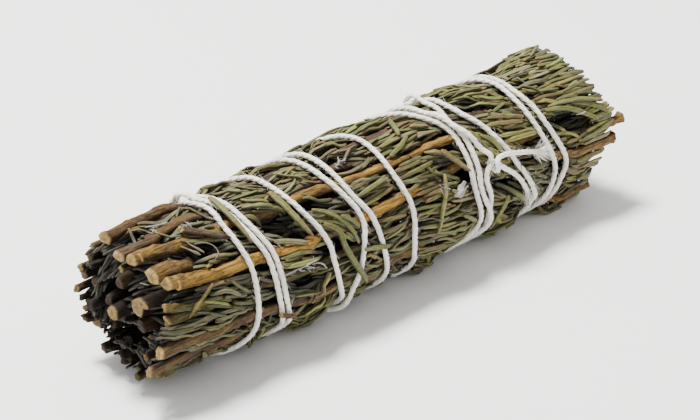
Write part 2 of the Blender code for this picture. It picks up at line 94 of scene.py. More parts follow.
# The tracks of the outer sprigs: the angle at each of these x
STATIONS = (-54, -38, -20, 0, 20, 40, 54)
OUTER_TRACKS = {
    "a": (-34, -19, -8, -1, 3, 2, 0),
    "b": (9, 1, 11, 16, 20, 20, 18),
    "c": (23, 24, 27, 33, 34, 38, 36),
    "d": (47, 57, 65, 62, 58, 60, 60),
    "e": (77, 80, 87, 87, 82, 83, 87),
    "f": (100, 103, 113, 112, 106, 106, 110),
    "g": (120, 122, 133, 132, 129, 130, 135),
    "h": (143, 144, 151, 151, 150, 151, 154),
    "i": (168, 169, 171, 171, 171, 171, 172),
    "j": (190, 191, 190, 190, 190, 190, 190),
    "k": (213, 212, 210, 210, 211, 212, 211),
    "l": (236, 234, 232, 231, 233, 234, 233),
    "m": (258, 256, 254, 253, 255, 256, 255),
    "n": (281, 278, 276, 276, 277, 278, 278),
    "o": (304, 302, 299, 299, 300, 301, 301),
    "p": (324, 322, 324, 328, 331, 331, 330),
}
BOTTOM_TRACKS = ("i", "j")

# Each outer sprig: track, x of its cut end, x of its tip, stem diameter, raised cut end. Some
# cut ends and diameters differ from the CAD, to be nearer the photo.
OUTER_SPRIGS = (
    ("a", -51.0, 44.0, 2.1, True),
    ("b", -55.5, 36.0, 2.1, True),
    ("c", -54.5, 41.0, 2.1, True),
    ("d", -52.0, 38.0, 2.4, True),
    ("e", -53.5, 12.0, 1.9, False),
    ("e", 54.5, 27.5, 1.9, True),
    ("f", -56.0, 39.0, 2.2, True),
    ("g", -57.5, 14.0, 2.0, True),
    ("g", 52.2, 30.0, 2.0, False),
    ("h", -52.5, 37.0, 1.9, False),
    ("i", -52.5, 41.0, 1.9, False),
    ("j", -51.0, 43.0, 1.8, False),
    ("k", -49.5, 38.0, 2.0, False),
    ("l", -51.0, 42.0, 2.1, True),
    ("m", -51.8, 36.0, 1.8, False),
    ("n", -52.0, 43.0, 2.0, True),
    ("o", -52.2, 40.0, 1.9, False),
    ("p", -45.0, 42.0, 1.6, False),
)

# Where an outer stem lies bare at the surface: track, from x, to x.
BARE_STRETCHES = (
    ("a", -51, -36), ("a", -29.5, -24.5), ("a", -21, -13), ("a", -8, 0), ("a", 1.5, 9),
    ("b", -56, -39), ("c", -55, -45), ("c", -23.5, 18), ("d", -52, -22), ("d", -9, 3),
    ("f", -56, -16), ("g", -57.5, -38), ("f", -3, 4), ("e", 39, 55), ("g", 42, 54),
    ("l", -51, -30), ("n", -52, -38), ("n", -12, 8), ("m", 4, 20), ("o", -24, -8),
)

# Hollows where the outer leaves leave a dark gap: x, angle, half length, half width, and tilt
HOLLOWS = (
    (-25.5, 40, 3.0, 1.3, 28), (-23.5, 54, 2.2, 1.0, 25), (-23.5, 90, 3.2, 1.6, 30),
    (-8.0, 12, 2.0, 1.5, 60), (-17.0, 40, 2.6, 0.8, 30), (-12.5, 84, 1.2, 1.2, 0),
    (-17.5, 80, 3.0, 1.4, 35), (25.0, 17, 2.6, 1.1, 18), (32.5, 60, 2.6, 1.0, 15),
    (14.0, 60, 2.6, 0.9, 35), (26.0, 92, 3.0, 1.1, 25), (28.0, 116, 3.5, 1.2, 30),
    (19.0, 80, 2.5, 0.9, 70), (45.0, 63, 4.2, 1.7, 12), (43.0, 122, 3.2, 1.3, 3),
    (40.5, 98, 1.2, 1.0, 0), (-47.5, 28, 3.2, 1.4, 27), (-51.0, 32, 1.8, 1.0, 33),
    (-51.0, 60, 3.4, 1.4, 20), (-51.0, 77, 2.4, 1.0, 16), (-48.0, -2, 1.8, 1.2, 30),
    (-42.5, 36, 1.8, 1.1, 10), (-10.0, -60, 3.0, 1.2, 10),
    (20.0, -72, 3.0, 1.2, 0), (-30.0, -82, 3.0, 1.2, 0), (5.0, -112, 3.0, 1.2, 0),
)
HOLLOW_LEVEL = 10.3
# How many more there are at random round the back
BACK_HOLLOWS = 34

# Short woody branches near the ends: sprig, diameter, tint, how far the cut end flares, how
# pale the cut is, and places as (x, angle, radius). A tint goes from dark over brown to green.
BRANCHES = (
    (3, 2.6, 0.40, 0.14, 1.0,
        ((-53.6, 39.6, 12.3), (-50.0, 39.5, 12.3), (-46.5, 41.5, 11.6), (-42.5, 44, 9.4))),
    (4, 2.3, 0.48, 0.12, 1.0,
        ((-50.4, 50.4, 12.7), (-47.5, 51.5, 12.5), (-45.0, 53.5, 12.1), (-42.0, 55, 11.4))),
    (3, 1.4, 0.40, 0.12, 1.0, ((-53.3, 21.0, 12.4), (-50.0, 23.0, 12.2), (-46.0, 26.5, 11.2))),
    (1, 2.3, 0.22, 0.10, 0.8,
        ((-53.8, -16, 12.8), (-50, -18, 13.0), (-45, -21, 13.0), (-40, -23, 13.0), (-34.5, -22, 12.5))),
    (5, 1.2, 0.95, 0.00, 0.5, ((-54.0, 65, 11.9), (-49.0, 72, 12.4), (-43.0, 75, 12.0))),
    (6, 1.5, 0.30, 0.60, 1.0,
        ((56.0, 75.5, 12.6), (53.0, 76, 12.6), (49.0, 77.5, 12.4), (44.0, 79.5, 11.6))),
    (18, 1.3, 0.95, 0.00, 0.3, ((-54.6, 332, 11.9), (-50.0, 331, 12.0), (-45.0, 330, 11.4))),
    (16, 1.3, 0.97, 0.10, 0.6, ((-53.0, 291, 11.8), (-48.0, 290, 11.8), (-43.0, 289, 11.2))),
    (15, 1.4, 0.40, 0.00, 0.3, ((-53.2, 270, 12.1), (-48.0, 268, 12.0), (-43.0, 267, 11.2))),
    (15, 1.0, 0.10, 0.00, 0.0, ((-53.4, 262, 11.0), (-48.0, 262, 11.4), (-43.0, 261, 11.2))),
    (14, 1.6, 0.30, 0.00, 0.1, ((-53.0, 243, 12.2), (-48.0, 241, 11.9), (-43.0, 240, 11.2))),
    (14, 1.1, 0.80, 0.10, 0.5, ((-53.2, 251, 10.8), (-48.0, 250, 11.2), (-43.0, 249, 11.0))),
    (13, 2.0, 0.05, 0.00, 0.0, ((-52.2, 215, 12.0), (-47.0, 213, 11.8), (-42.0, 212, 11.0))),
    (12, 1.6, 0.10, 0.00, 0.0, ((-51.4, 194, 11.5), (-46.0, 192, 11.3), (-41.0, 192, 10.8))),
    (11, 1.4, 0.95, 0.00, 0.2, ((-54.2, 158, 10.9), (-49.0, 160, 11.2), (-43.0, 161, 10.8))),
    (19, 1.2, 0.60, 0.00, 1.0, ((-55.6, 14, 9.9), (-50.0, 12, 9.2), (-45.0, 12, 8.2))),
    (20, 2.1, 0.20, 0.00, 1.0, ((-55.7, 54, 8.9), (-50.0, 55, 8.6), (-44.0, 56, 7.8))),
    (22, 1.2, 0.90, 0.00, 0.5, ((-55.6, 118, 9.0), (-50.0, 119, 8.9), (-44.0, 120, 8.2))),
    (24, 1.6, 0.10, 0.00, 0.0, ((-53.0, 190, 9.0), (-48.0, 192, 8.9), (-42.0, 193, 8.2))),
    (27, 1.2, 0.15, 0.00, 0.1, ((-54.0, 309, 9.4), (-49.0, 307, 9.2), (-44.0, 306, 8.2))),
)
# The tints of the sprigs' stems, which are drawn for the others
STEM_TINTS = {
    1: 0.08, 2: 0.20, 3: 0.52, 4: 0.60, 5: 0.97, 6: 0.30, 7: 0.22, 8: 0.24, 9: 0.42,
    11: 0.9, 13: 0.1, 14: 0.2, 15: 0.2, 17: 0.95, 20: 0.1, 29: 0.1,
}
# How far the cut ends of some sprigs flare, and how pale the cuts of some are
FLARES = {2: 0.15, 4: 0.10, 6: 0.45}
PALE_CUTS = {
    8: 0.6, 10: 0.3, 11: 0.2, 12: 0.1, 13: 0.0, 14: 0.3, 15: 0.1, 16: 0.3, 17: 0.1, 18: 0.2,
    19: 0.1, 20: 1.0, 22: 0.4, 29: 1.0,
}
# Where the looks turn a stem a little from its CAD place: sprig, from x, over mm, degrees
TURNED_ENDS = (
    (3, -46.0, -8.0, -5.0), (6, 37.0, 8.0, 5.0), (8, -44.0, -8.0, -4.0), (9, 35.0, 8.0, 7.0),
)
# How far from the axis the top of a stem lies where it is bare, and the length in which it
# comes up
BARE_TOPS = {2: 13.1, 3: 13.0, 4: 13.4, 6: 13.2, 7: 13.1, 9: 14.3}
USUAL_BARE_TOP = 12.72
BARE_FADE = 3

# Single needles that stand out: width, tint, rolled over, places as (x, angle)
HEROES = (
    (0.7, 0.20, False, ((-49.0, -14), (-49.4, -3), (-49.6, 6))),
    (0.8, 0.62, True, ((-44.5, 70), (-42.0, 70), (-39.0, 78))),
    (0.8, 0.60, False, ((-29.5, 12), (-28.0, 18), (-26.0, 25))),
    (0.8, 0.45, False, ((-30.5, 18), (-28.5, 23), (-26.0, 29))),
    (0.9, 0.62, False, ((-31.0, 25), (-29.5, 29), (-28.0, 34))),
    (0.9, 0.40, False, ((-19.0, 42), (-16.5, 50), (-14.0, 63), (-12.0, 79))),
    (0.8, 0.35, False, ((-15.0, 55), (-13.0, 60), (-11.0, 68))),
    (1.3, 0.84, False, ((-21.0, 108), (-20.0, 100), (-19.0, 92))),
    (0.8, 0.84, False, ((-10.0, 91), (-8.0, 97), (-6.0, 104))),
    (0.8, 0.50, False, ((-29.0, 66), (-24.0, 68), (-18.5, 78))),
    (0.8, 1.00, False, ((-29.0, 73), (-24.0, 75), (-19.5, 79))),
    (1.0, 0.62, True, ((-29.0, 52), (-26.0, 57), (-23.0, 63))),
    (0.8, 0.60, False, ((-9.0, 47), (-5.0, 45), (-1.5, 44))),
    (1.1, 0.28, False, ((9.5, -4), (8.0, 6), (6.3, 18))),
    (0.9, 0.60, False, ((2.0, 29), (5.0, 26), (8.0, 20))),
    (0.9, 0.62, False, ((2.0, 18), (4.0, 19), (6.0, 20))),
    (1.0, 0.82, False, ((10.0, 14), (12.0, 16), (14.0, 18))),
    (1.0, 0.50, False, ((22.0, 43), (24.3, 50), (25.0, 62))),
    (0.9, 0.82, False, ((9.0, 37), (12.5, 45), (16.0, 61))),
    (0.9, 0.60, True, ((19.2, 66), (20.0, 74), (21.2, 84))),
    (1.1, 0.46, False, ((24.0, 88), (27.5, 99), (31.0, 112))),
    (0.9, 0.62, False, ((13.0, 94), (15.5, 101), (18.0, 110))),
    (0.9, 0.45, True, ((10.6, 71), (11.8, 75), (12.6, 79))),
    (1.0, 0.46, False, ((38.7, 45), (42.0, 49), (45.0, 55), (49.5, 68))),
    (0.9, 0.50, False, ((44.5, 48), (48.5, 55), (52.5, 65))),
    (0.9, 0.60, False, ((37.2, 55), (40.3, 58), (41.6, 68))),
    (0.9, 0.46, False, ((44.0, 79), (49.0, 77), (53.5, 74))),
    (1.0, 0.50, False, ((40.0, 43), (46.0, 48), (52.0, 55))),
    (0.9, 0.40, False, ((47.0, -8), (49.3, -12.5), (51.4, -18))),
    (0.9, 1.00, False, ((26.0, 49), (30.0, 52), (34.5, 56))),
    (0.9, 0.95, False, ((26.0, 54), (30.0, 56), (34.0, 58))),
    (0.9, 0.80, False, ((26.0, 32), (29.0, 37), (33.0, 43))),
    (0.9, 0.78, False, ((24.0, 37), (28.0, 41), (32.0, 46))),
)
# How thick they are for their width, how many lie at random round the back, and the furthest
# x that those reach
SINGLE_THICKNESS = 0.6
BACK_NEEDLES = 60
BACK_NEEDLES_END = 51

# Where pale crumbs have gathered: x, angle, spread in mm
CRUMBS = (
    (-23, 80, 2.4), (-7, 13, 1.4), (9, 68, 1.2), (-47, 1, 1.4), (-41, 13, 1.4), (30, 84, 3.5),
    (32.5, 100, 2.0), (-50, 45, 4.0),
)
CRUMB_COUNT = 135
CRUMB_SIDES = 5
# The share of crumbs that lie in these places
GATHERED = 0.7
# A crumb's places along it and its widths there, as shares of its half length and half width
CRUMB_PROFILE = ((-1, 0.3), (-0.4, 1.0), (0.4, 0.9), (1, 0.25))
# Pale dry shreds: width, and places as (x, angle)
SHREDS = (
    (0.34, ((-29.3, 78), (-26.8, 78), (-24.8, 76), (-22.8, 75.5))),
    (0.26, ((-24.6, 78), (-23.6, 80), (-22.4, 83))),
    (0.30, ((-23.0, 79), (-21.3, 80.5), (-20.2, 84), (-19.7, 87.5))),
    (0.22, ((-26.0, 77), (-25.6, 80), (-24.6, 81.5))),
    (0.24, ((-8.4, 18), (-7.2, 15), (-6.4, 10))),
    (0.22, ((-7.4, 14), (-6.2, 15.5), (-5.4, 14))),
    (1.15, ((10.8, 75.5), (12.7, 73.3), (14.8, 70.5))),
    (0.60, ((11.4, 77.5), (13.4, 75.5), (15.2, 74))),
    (0.30, ((44.9, 58), (45.8, 59), (46.6, 58.5))),
    (0.28, ((-47.3, -4), (-45.5, 0), (-43.6, 2))),
    (0.22, ((31.0, 96), (32.4, 99), (33.8, 98))),
    (0.20, ((31.6, 101), (32.8, 102.5), (34.0, 106))),
)
# Brown ones, in the same way
STRAWS = (
    (0.20, ((-43.4, 30), (-41.6, 32), (-40.4, 37), (-40.3, 43), (-41.8, 47))),
    (0.46, ((-45.9, 27), (-44.8, 33), (-43.6, 39.5))),
    (0.42, ((-44.5, 26), (-43.6, 33), (-42.7, 39))),
    (0.34, ((38.5, 3), (40.4, 6), (42.6, 5), (44.4, 8))),
    (0.30, ((-30.5, 47), (-29.0, 52), (-28.4, 58))),
    (0.24, ((3.0, 84), (5.5, 86), (7.5, 90))),
)
SHRED_SIDES = 6
SHRED_THICKNESS = 0.25
# Shreds and loose leaves don't lie deeper than this
SHRED_LEAST_RADIUS = 13.2
LOOSE_LEAST_RADIUS = 13.6

# Loose bits caught on the outside: name, width, thickness, and places as (x, angle).
LOOSE_BITS = (
    ("bent_stalk", 1.15, 1.0,
        ((-18.3, 55), (-16.2, 63), (-15.5, 75), (-13.6, 91), (-11.2, 106), (-8.9, 119))),
    ("upright_stalk", 0.8, 0.7, ((9.9, 58), (8.5, 74), (7.4, 86), (6.4, 100))),
    ("crossing_twig", 1.15, 1.0, ((-43.9, 17), (-40.2, 28), (-36.9, 38.5))),
    ("short_twig", 0.9, 0.8, ((-31.0, 106), (-28.2, 112), (-25.6, 118))),
    ("straw", 0.55, 0.5, ((-44.2, 63), (-47.2, 71), (-50.4, 79))),
    ("loose_needle_01", 1.4, 0.7,
        ((-24.2, 17), (-23.7, 31), (-23.0, 43), (-22.3, 52), (-21.4, 60))),
    ("loose_needle_02", 1.1, 0.6, ((-33.2, -4), (-34.0, 20), (-33.6, 46))),
    ("loose_needle_03", 0.9, 0.6, ((-11.2, 85), (-8.3, 88), (-4.8, 91.5))),
    ("loose_needle_04", 1.3, 0.6, ((11.5, 42), (13.8, 52), (16.2, 64))),
    ("loose_needle_05", 1.0, 0.6, ((25.0, 96), (23.5, 112), (23.0, 128))),
    ("loose_needle_06", 1.0, 0.6, ((-4.0, -38), (3.0, -42), (9.0, -45))),
    ("loose_needle_07", 1.1, 0.6, ((-47.0, -62), (-41.0, -70), (-35.5, -75))),
    ("loose_needle_08", 1.0, 0.6, ((-8.5, -141), (-3.5, -139), (1.5, -138))),
    ("loose_needle_09", 1.1, 0.6, ((20.5, -100), (26.0, -92), (31.0, -88))),
)
# The woody ones: how dark or yellow their bark is, and how far it is peeled
WOODY_BITS = {"crossing_twig": (0.02, 0.0), "short_twig": (0.2, 0.0), "straw": (1.1, 0.1)}
# The tints of the others
BIT_TINTS = {
    "bent_stalk": 0.35, "loose_needle_01": 0.62, "upright_stalk": 1.0, "loose_needle_02": 0.62,
    "loose_needle_04": 0.80,
}
USUAL_BIT_TINT = 0.5

# The twine's route, from one tail round to the other: (x, angle) for each turn, whose angles
# start again from the top. A third value is the height over the wrap radius, in the knot.
TWINE_TURNS = (
    (
        (31.3, 108), (30.6, 102), (29.5, 95), (28.3, 87.5), (26.6, 80), (24.7, 74, 0.3),
        (22.9, 68.5, 0.9), (21.1, 64, 1.45), (19.8, 67.5, 1.2), (19.5, 73.5, 0.5), (20.1, 82),
        (20.7, 90), (20.7, 99), (20.9, 110), (21.6, 126), (22.3, 150), (22.4, 180), (20.8, 207),
        (13.5, 229), (3.0, 249), (-9.0, 269), (-20.0, 288), (-29.0, 307), (-34.0, 327),
    ),
    (
        (-35.3, -19), (-35.1, 5), (-35.9, 25), (-35.8, 42), (-35.3, 60), (-35.2, 85),
        (-34.8, 108), (-34.9, 124), (-36.2, 140), (-37.6, 158), (-38.0, 190), (-37.3, 225),
        (-36.3, 260), (-35.2, 295), (-34.4, 322),
    ),
    (
        (-33.9, -16), (-33.3, 8), (-33.2, 26), (-32.5, 42), (-31.5, 58), (-31.0, 78),
        (-30.3, 95), (-28.8, 114), (-27.3, 131), (-27.8, 145), (-28.8, 160), (-30.0, 190),
        (-30.8, 225), (-31.6, 260), (-32.2, 295), (-32.5, 322),
    ),
    (
        (-32.4, -16), (-31.9, 8), (-31.8, 26), (-31.1, 42), (-30.1, 58), (-29.6, 78),
        (-28.9, 95), (-27.4, 114), (-25.9, 131), (-26.2, 145), (-27.0, 165), (-27.0, 200),
        (-26.5, 235), (-25.9, 270), (-25.0, 300), (-23.9, 325),
    ),
    (
        (-22.4, -12), (-22.3, 6), (-21.8, 24), (-20.8, 41), (-19.4, 56), (-18.3, 70),
        (-17.7, 86), (-16.3, 104), (-14.7, 118), (-13.0, 132), (-12.8, 143), (-14.0, 158),
        (-15.0, 185), (-15.4, 220), (-15.5, 255), (-14.9, 290), (-14.0, 322),
    ),
    (
        (-13.1, -14), (-12.9, 6), (-12.4, 26), (-11.3, 43), (-10.2, 57), (-9.9, 69),
        (-10.6, 80), (-11.2, 95), (-11.4, 110), (-11.6, 124), (-12.8, 137), (-14.8, 151),
        (-16.6, 174), (-16.9, 200), (-16.0, 222), (-14.4, 246), (-13.0, 272), (-11.8, 300),
        (-10.8, 325),
    ),
    (
        (-10.1, -14), (-10.3, 8), (-10.3, 26), (-10.0, 40), (-9.3, 50), (-8.0, 61),
        (-7.1, 76), (-6.1, 92), (-4.9, 106), (-3.7, 120), (-3.2, 134), (-4.0, 148),
        (-5.2, 170), (-6.0, 205), (-6.1, 240), (-5.4, 275), (-3.6, 303), (-1.6, 326),
    ),
    (
        (0.1, -15), (0.6, 2), (0.4, 20), (0.3, 40), (0.7, 53), (1.4, 67), (1.5, 82),
        (1.5, 96), (2.2, 110), (3.4, 123), (3.6, 136), (2.8, 150), (2.5, 175), (3.2, 210),
        (4.4, 245), (6.2, 277), (8.3, 303), (10.7, 328),
    ),
    (
        (13.1, -14), (14.4, 1), (15.4, 12), (16.5, 21), (17.0, 32), (17.0, 50), (16.9, 62),
        (16.7, 74), (17.2, 86), (18.2, 98), (19.0, 110), (18.7, 120), (17.0, 132),
        (15.0, 146), (13.3, 166), (12.5, 195), (13.0, 230), (14.6, 262), (17.0, 295),
        (19.6, 326),
    ),
    (
        (21.8, -14), (21.6, 4), (22.2, 20), (23.9, 35), (25.2, 49), (26.7, 62), (28.1, 75),
        (29.9, 86), (31.3, 99), (32.6, 112), (33.4, 126), (33.3, 145), (32.7, 170),
        (32.1, 200), (31.8, 232), (32.1, 264), (32.8, 295), (33.6, 325),
    ),
    (
        (34.4, -15), (34.7, 4), (34.4, 22), (34.6, 38), (35.1, 52), (36.0, 67), (37.0, 79),
        (37.8, 91), (37.8, 106), (37.6, 122), (36.6, 137), (35.7, 154), (35.3, 180),
        (35.1, 212), (35.2, 245), (35.5, 280), (35.8, 315),
    ),
    (
        (36.1, -12), (36.0, 6), (36.0, 20), (36.8, 36), (37.5, 52), (38.5, 66), (40.0, 80),
        (40.9, 92), (40.2, 106), (39.8, 121), (39.5, 137), (39.4, 155), (39.2, 180),
        (38.4, 205), (36.4, 226), (33.0, 245), (29.4, 262), (26.2, 279), (23.4, 297),
        (21.3, 316),
    ),
    (
        (20.0, -14), (19.6, 2), (18.8, 13), (18.3, 24), (18.1, 34), (17.9, 44), (17.8, 53),
        (17.8, 64), (18.0, 75), (18.7, 86), (19.5, 96), (20.2, 107), (20.2, 120), (19.4, 138),
        (18.8, 160), (18.0, 190), (17.2, 225), (16.8, 260), (16.6, 295), (16.5, 325),
    ),
    (
        (16.5, -14), (16.4, 3), (16.6, 14), (16.9, 24), (17.3, 33), (18.0, 41), (18.9, 48.5),
        (19.8, 54.5), (20.6, 60), (21.0, 64.5, 0.1), (21.4, 68.5, 0.3), (21.6, 71.5, 1.3),
        (21.3, 68.5, 2.1), (21.5, 65, 2.2), (22.6, 62.8, 1.6), (24.4, 62.8, 1.4),
        (26.6, 64.4, 1.35), (28.8, 66.8), (31.1, 69.4), (33.2, 72), (35.0, 75),
    ),
)

# The unrolled layers: cell size and ends. A leaf is laid at this many places along it, and at
# these places across it, in shares of its width.
CELL = 0.2
X_LOW = -64.0
X_HIGH = 64.0
LINE_STEPS = 26
ACROSS = np.array((-0.42, -0.2, 0.0, 0.2, 0.42))
# How far a leaf's middle lies over what is below it, in its thicknesses, and the parts of its
# length where its foot comes up and where its foot isn't held down
MIDDLE_OVER = 0.42
FOOT_RISES = 0.22
FOOT = 0.16
# How much a softened value takes from itself and its neighbours
SOFTEN = np.array((1.0, 2.0, 3.0, 2.0, 1.0)) / 9
# The step along a bit whose places are given
RUN_STEP = 0.2
# The outer layer's radius and the height it starts from
OUTER_SHELL = 13.0
OUTER_BASE = 10.7
# A limit that nothing reaches, and one that keeps leaves off a bare stem
NO_LIMIT = 40.0
BARE_LIMIT = 0.5
# Leaves whose tint is drawn
ANY_TINT = -1.0
# The shares of leaves that curl a lot, lie across the others, point backwards and are rolled over
CURLED = 0.07
CROSSWISE = 0.10
BACKWARDS = 0.12
ROLLED_OVER = 0.2
# How far under the outline the painted shade inside the bundle starts, how much deeper it is
# darkest, and where the open leafy end lets light in, so that less shade is painted there
DARK_FROM = 0.5
DARK_OVER = 2.6
OPEN_END_X = 53
OPEN_END_FADE = 8

# How the twine presses: how far from a strand, how deep, how the leaves swell beside it and from
# what distance, the least room for it over the floor, and how far stems may stand over that
PRESS_REACH = 2.4
PRESS_DEPTH = 0.56
SWELL = 1.25
SWELL_FROM = 0.45
SWELL_OVER = 2.2
PRESS_FLOOR_ROOM = 1.15
STEM_UNDER_TWINE = 0.22
# The room that the twine takes from what lies over it
TWINE_RISE = 0.5
TWINE_HALF_WIDTH = 0.52

# Which way the needles lie in each part of the surface: x, angle, and degrees from the length
FLOW = (
    (-46, -20, 60), (-52, 22, 30), (-44, 30, 60), (-38, 8, 16), (-40, 26, 20), (-52, 68, 12),
    (-46, 82, 12), (-48, 116, 5), (-30, 18, 30), (-20, 12, 5), (-18, 32, 15), (-16, 42, 20),
    (-15, 58, 48), (-8, 50, 0), (-25, 70, 15), (-22, 76, 10), (-26, 56, 22), (-20, 98, -50),
    (-8, 90, 20), (-36, 72, 0), (-38, 80, 20), (-4, 10, 20), (0, 52, -4), (5, 20, 0),
    (5, 28, -14), (12, 16, 14), (28, 16, 28), (30, 35, 15), (30, 52, 10), (24, 50, 45),
    (12, 46, 35), (0, 44, 3), (4, 54, 3), (12, 82, 8), (16, 100, 35), (28, 100, 38),
    (20, 72, 55), (-2, 82, -15), (8, 58, 14), (42, 6, 10), (50, -12, -2), (50, 10, 4),
    (46, 20, -6), (46, 35, -8), (46, 48, 12), (38, 26, 30), (46, 56, 24), (50, 76, -8), (40, 64, 30),
    (44, 95, 5), (46, 112, 15),
)
# How far each of them reaches, the radius of their angles, and the direction and weight of what
# is usual elsewhere
FLOW_REACH = 4.2
FLOW_RADIUS = 13
USUAL_HEADING = 6.0
DRIFT_WEIGHT = 0.25
FLOW_PLACES = np.array([
    (x, math.radians(angle) * FLOW_RADIUS, heading) for x, angle, heading in FLOW
])
# How much lower the leaves lie at the cut end, from which x, and the length of the change
CUT_END_SUNK = 0.6
SUNK_FROM = -44
SUNK_FADE = 7
# Where the outer leaves end, by the angle round the bundle
ROUND_ANGLES = (0, 20, 45, 65, 80, 100, 120, 140, 165, 190, 215, 245, 270, 305, 330, 345, 360)
CUT_FACE = (
    -54.3, -54.3, -52.0, -53.2, -54.8, -56.0, -56.0, -54.0, -51.8, -51.0, -51.2, -52.2,
    -51.7, -51.5, -53.4, -54.0, -54.3,
)
TIP_FACE = (
    51.6, 52.2, 52.4, 54.0, 53.0, 50.6, 49.6, 51.5, 52.8, 53.0, 53.0, 53.0,
    53.0, 53.2, 53.4, 52.0, 51.6,
)
INNER_CUT_FACE = -53.0
# From here to the tips the needles lie straighter
TIDY_FROM = 40.0

# Each round of leaves: layer, the most leaves, the room that calls for one, its lengths and
# widths, how much too high it may lie, and between which x
ALL_ALONG = (-57.0, 55.0)
COVERS = (
    ("core", 130, 0.8, (8, 15), (0.9, 1.4), 0.4, ALL_ALONG),
    ("core", 70, 0.5, (7, 11), (0.7, 1.1), 0.4, (41, 56)),
    ("core", 40, 0.5, (7, 11), (0.7, 1.1), 0.4, (-57, -45)),
    ("core", 90, 0.3, (6, 10), (0.8, 1.3), 0.7, (43, 56)),
    ("middle", 700, 0.9, (8, 15), (0.9, 1.4), 0.4, ALL_ALONG),
    ("middle", 260, 0.5, (7, 11), (0.7, 1.1), 0.4, (36, 56)),
    ("middle", 160, 0.5, (6, 10), (0.6, 1.0), 0.4, (-57, -46)),
    ("middle", 300, 0.3, (6, 10), (0.8, 1.3), 0.7, (43, 56)),
    ("middle", 200, 0.25, (6, 9), (0.8, 1.2), 1.1, (46, 56)),
    ("outer", 900, 1.5, (8, 14), (0.7, 1.05), 0.3, ALL_ALONG),
    ("outer", 2300, 0.7, (5, 11), (0.55, 0.95), 0.3, (-57, 43)),
    ("outer", 300, 0.8, (8, 13), (0.8, 1.25), 0.3, (41, 56)),
    ("outer", 420, 0.45, (7, 12), (0.75, 1.2), 0.5, (41, 56)),
    ("outer", 160, 1.1, (6, 9), (0.75, 1.1), 0.9, (46, 56)),
)
LAST_COVERS = (
    ("core", 160, 0.2, (6, 9), (0.9, 1.4), 1.5, (43, 54)),
    ("middle", 320, 0.2, (6, 9), (0.9, 1.4), 1.6, (43, 54)),
)
# How many leaves are tried at a time, and how many low places are too few to go on
BATCH = 50
FEW_PLACES = 60

# A needle's section, with a groove along the top and rolled-under edges: side, height
FINE_SECTION = np.array((
    (1.0, -0.06), (0.76, 0.34), (0.34, 0.50), (0.0, 0.33), (-0.34, 0.50),
    (-0.76, 0.34), (-1.0, -0.06), (-0.58, -0.50), (0.0, -0.16), (0.58, -0.50),
))
PLAIN_SECTION = np.array((
    (1.0, 0.0), (0.5, 0.5), (-0.5, 0.5), (-1.0, 0.0), (-0.5, -0.5), (0.5, -0.5),
))
# Each profile: section, places along the leaf, and the width and thickness at each
FINE = (
    FINE_SECTION,
    np.array((0.0, 0.06, 0.19, 0.38, 0.58, 0.78, 0.92, 1.0)),
    np.array((0.40, 0.66, 0.93, 1.0, 1.0, 0.96, 0.86, 0.50)),
    np.array((0.70, 0.85, 1.0, 1.0, 1.0, 0.96, 0.92, 0.65)),
)
PLAIN = (
    PLAIN_SECTION,
    np.array((0.0, 0.15, 0.4, 0.7, 0.92, 1.0)),
    np.array((0.4, 0.9, 1.0, 0.97, 0.7, 0.25)),
    np.array((0.7, 1.0, 1.0, 0.95, 0.8, 0.4)),
)
LONG_SHARES = np.linspace(0, 1, 24)
LONG = (
    FINE_SECTION,
    LONG_SHARES,
    np.minimum(1.0, 0.45 + LONG_SHARES * 5) * (1 - 0.75 * LONG_SHARES**9),
    np.minimum(1.0, 0.55 + LONG_SHARES * 4) * (1 - 0.6 * LONG_SHARES**10),
)

# A stem's sides, the step between its rings, and the steps between its bends and its lumps
STEM_SIDES = 16
INNER_SIDES = 10
STEM_STEP = 0.7
BEND_STEP = 6
LUMP_STEP = 1.6
# Ridges along a stem: how many round it, and how high as a share of its radius
RIDGES = ((2, 0.06), (3, 0.06), (5, 0.055), (7, 0.05))
# The rings of the cut end: distances, widths, how bare the wood is, and how far it is pith
CUT_DISTANCES = (0.06, 0.0, 0.0, 0.0, 0.14)
CUT_SCALES = (0.03, 0.22, 0.45, 0.84, 0.99)
CUT_MARKS = (1.0, 1.0, 1.0, 1.0, 0.35)
PITH_MARKS = (1.0, 1.0, 0.0, 0.0, 0.0)
TIP_SCALES = (0.8, 0.1)
# A stem's tint, or None to draw one, how far its cut end flares, how pale the cut is and how far
# its bark is peeled
StemLook = namedtuple("StemLook", "tint flare pale peeled", defaults=(0.0,))

PLIES = 3
PLY_RADIUS = 0.34
PLY_OFFSET = 0.135
PLY_PITCH = 4.4
PLY_SIDES = 8
PITCH_DRIFT_STEP = 5
RING_STEP = 0.42
# Loose fibres: how many along the twine, how far from its middle they start, and at each tail
FUZZ_COUNT = 2600
FUZZ_START = 0.42
FIBRE_SIDES = 3
TAIL_FIBRES = 150
# Each tail: its end and a place further in on the line, the length of its fibres, and how far
# they spread
TAILS = ((0, 8, 3.0, 0.32), (-1, -9, 3.2, 0.46))
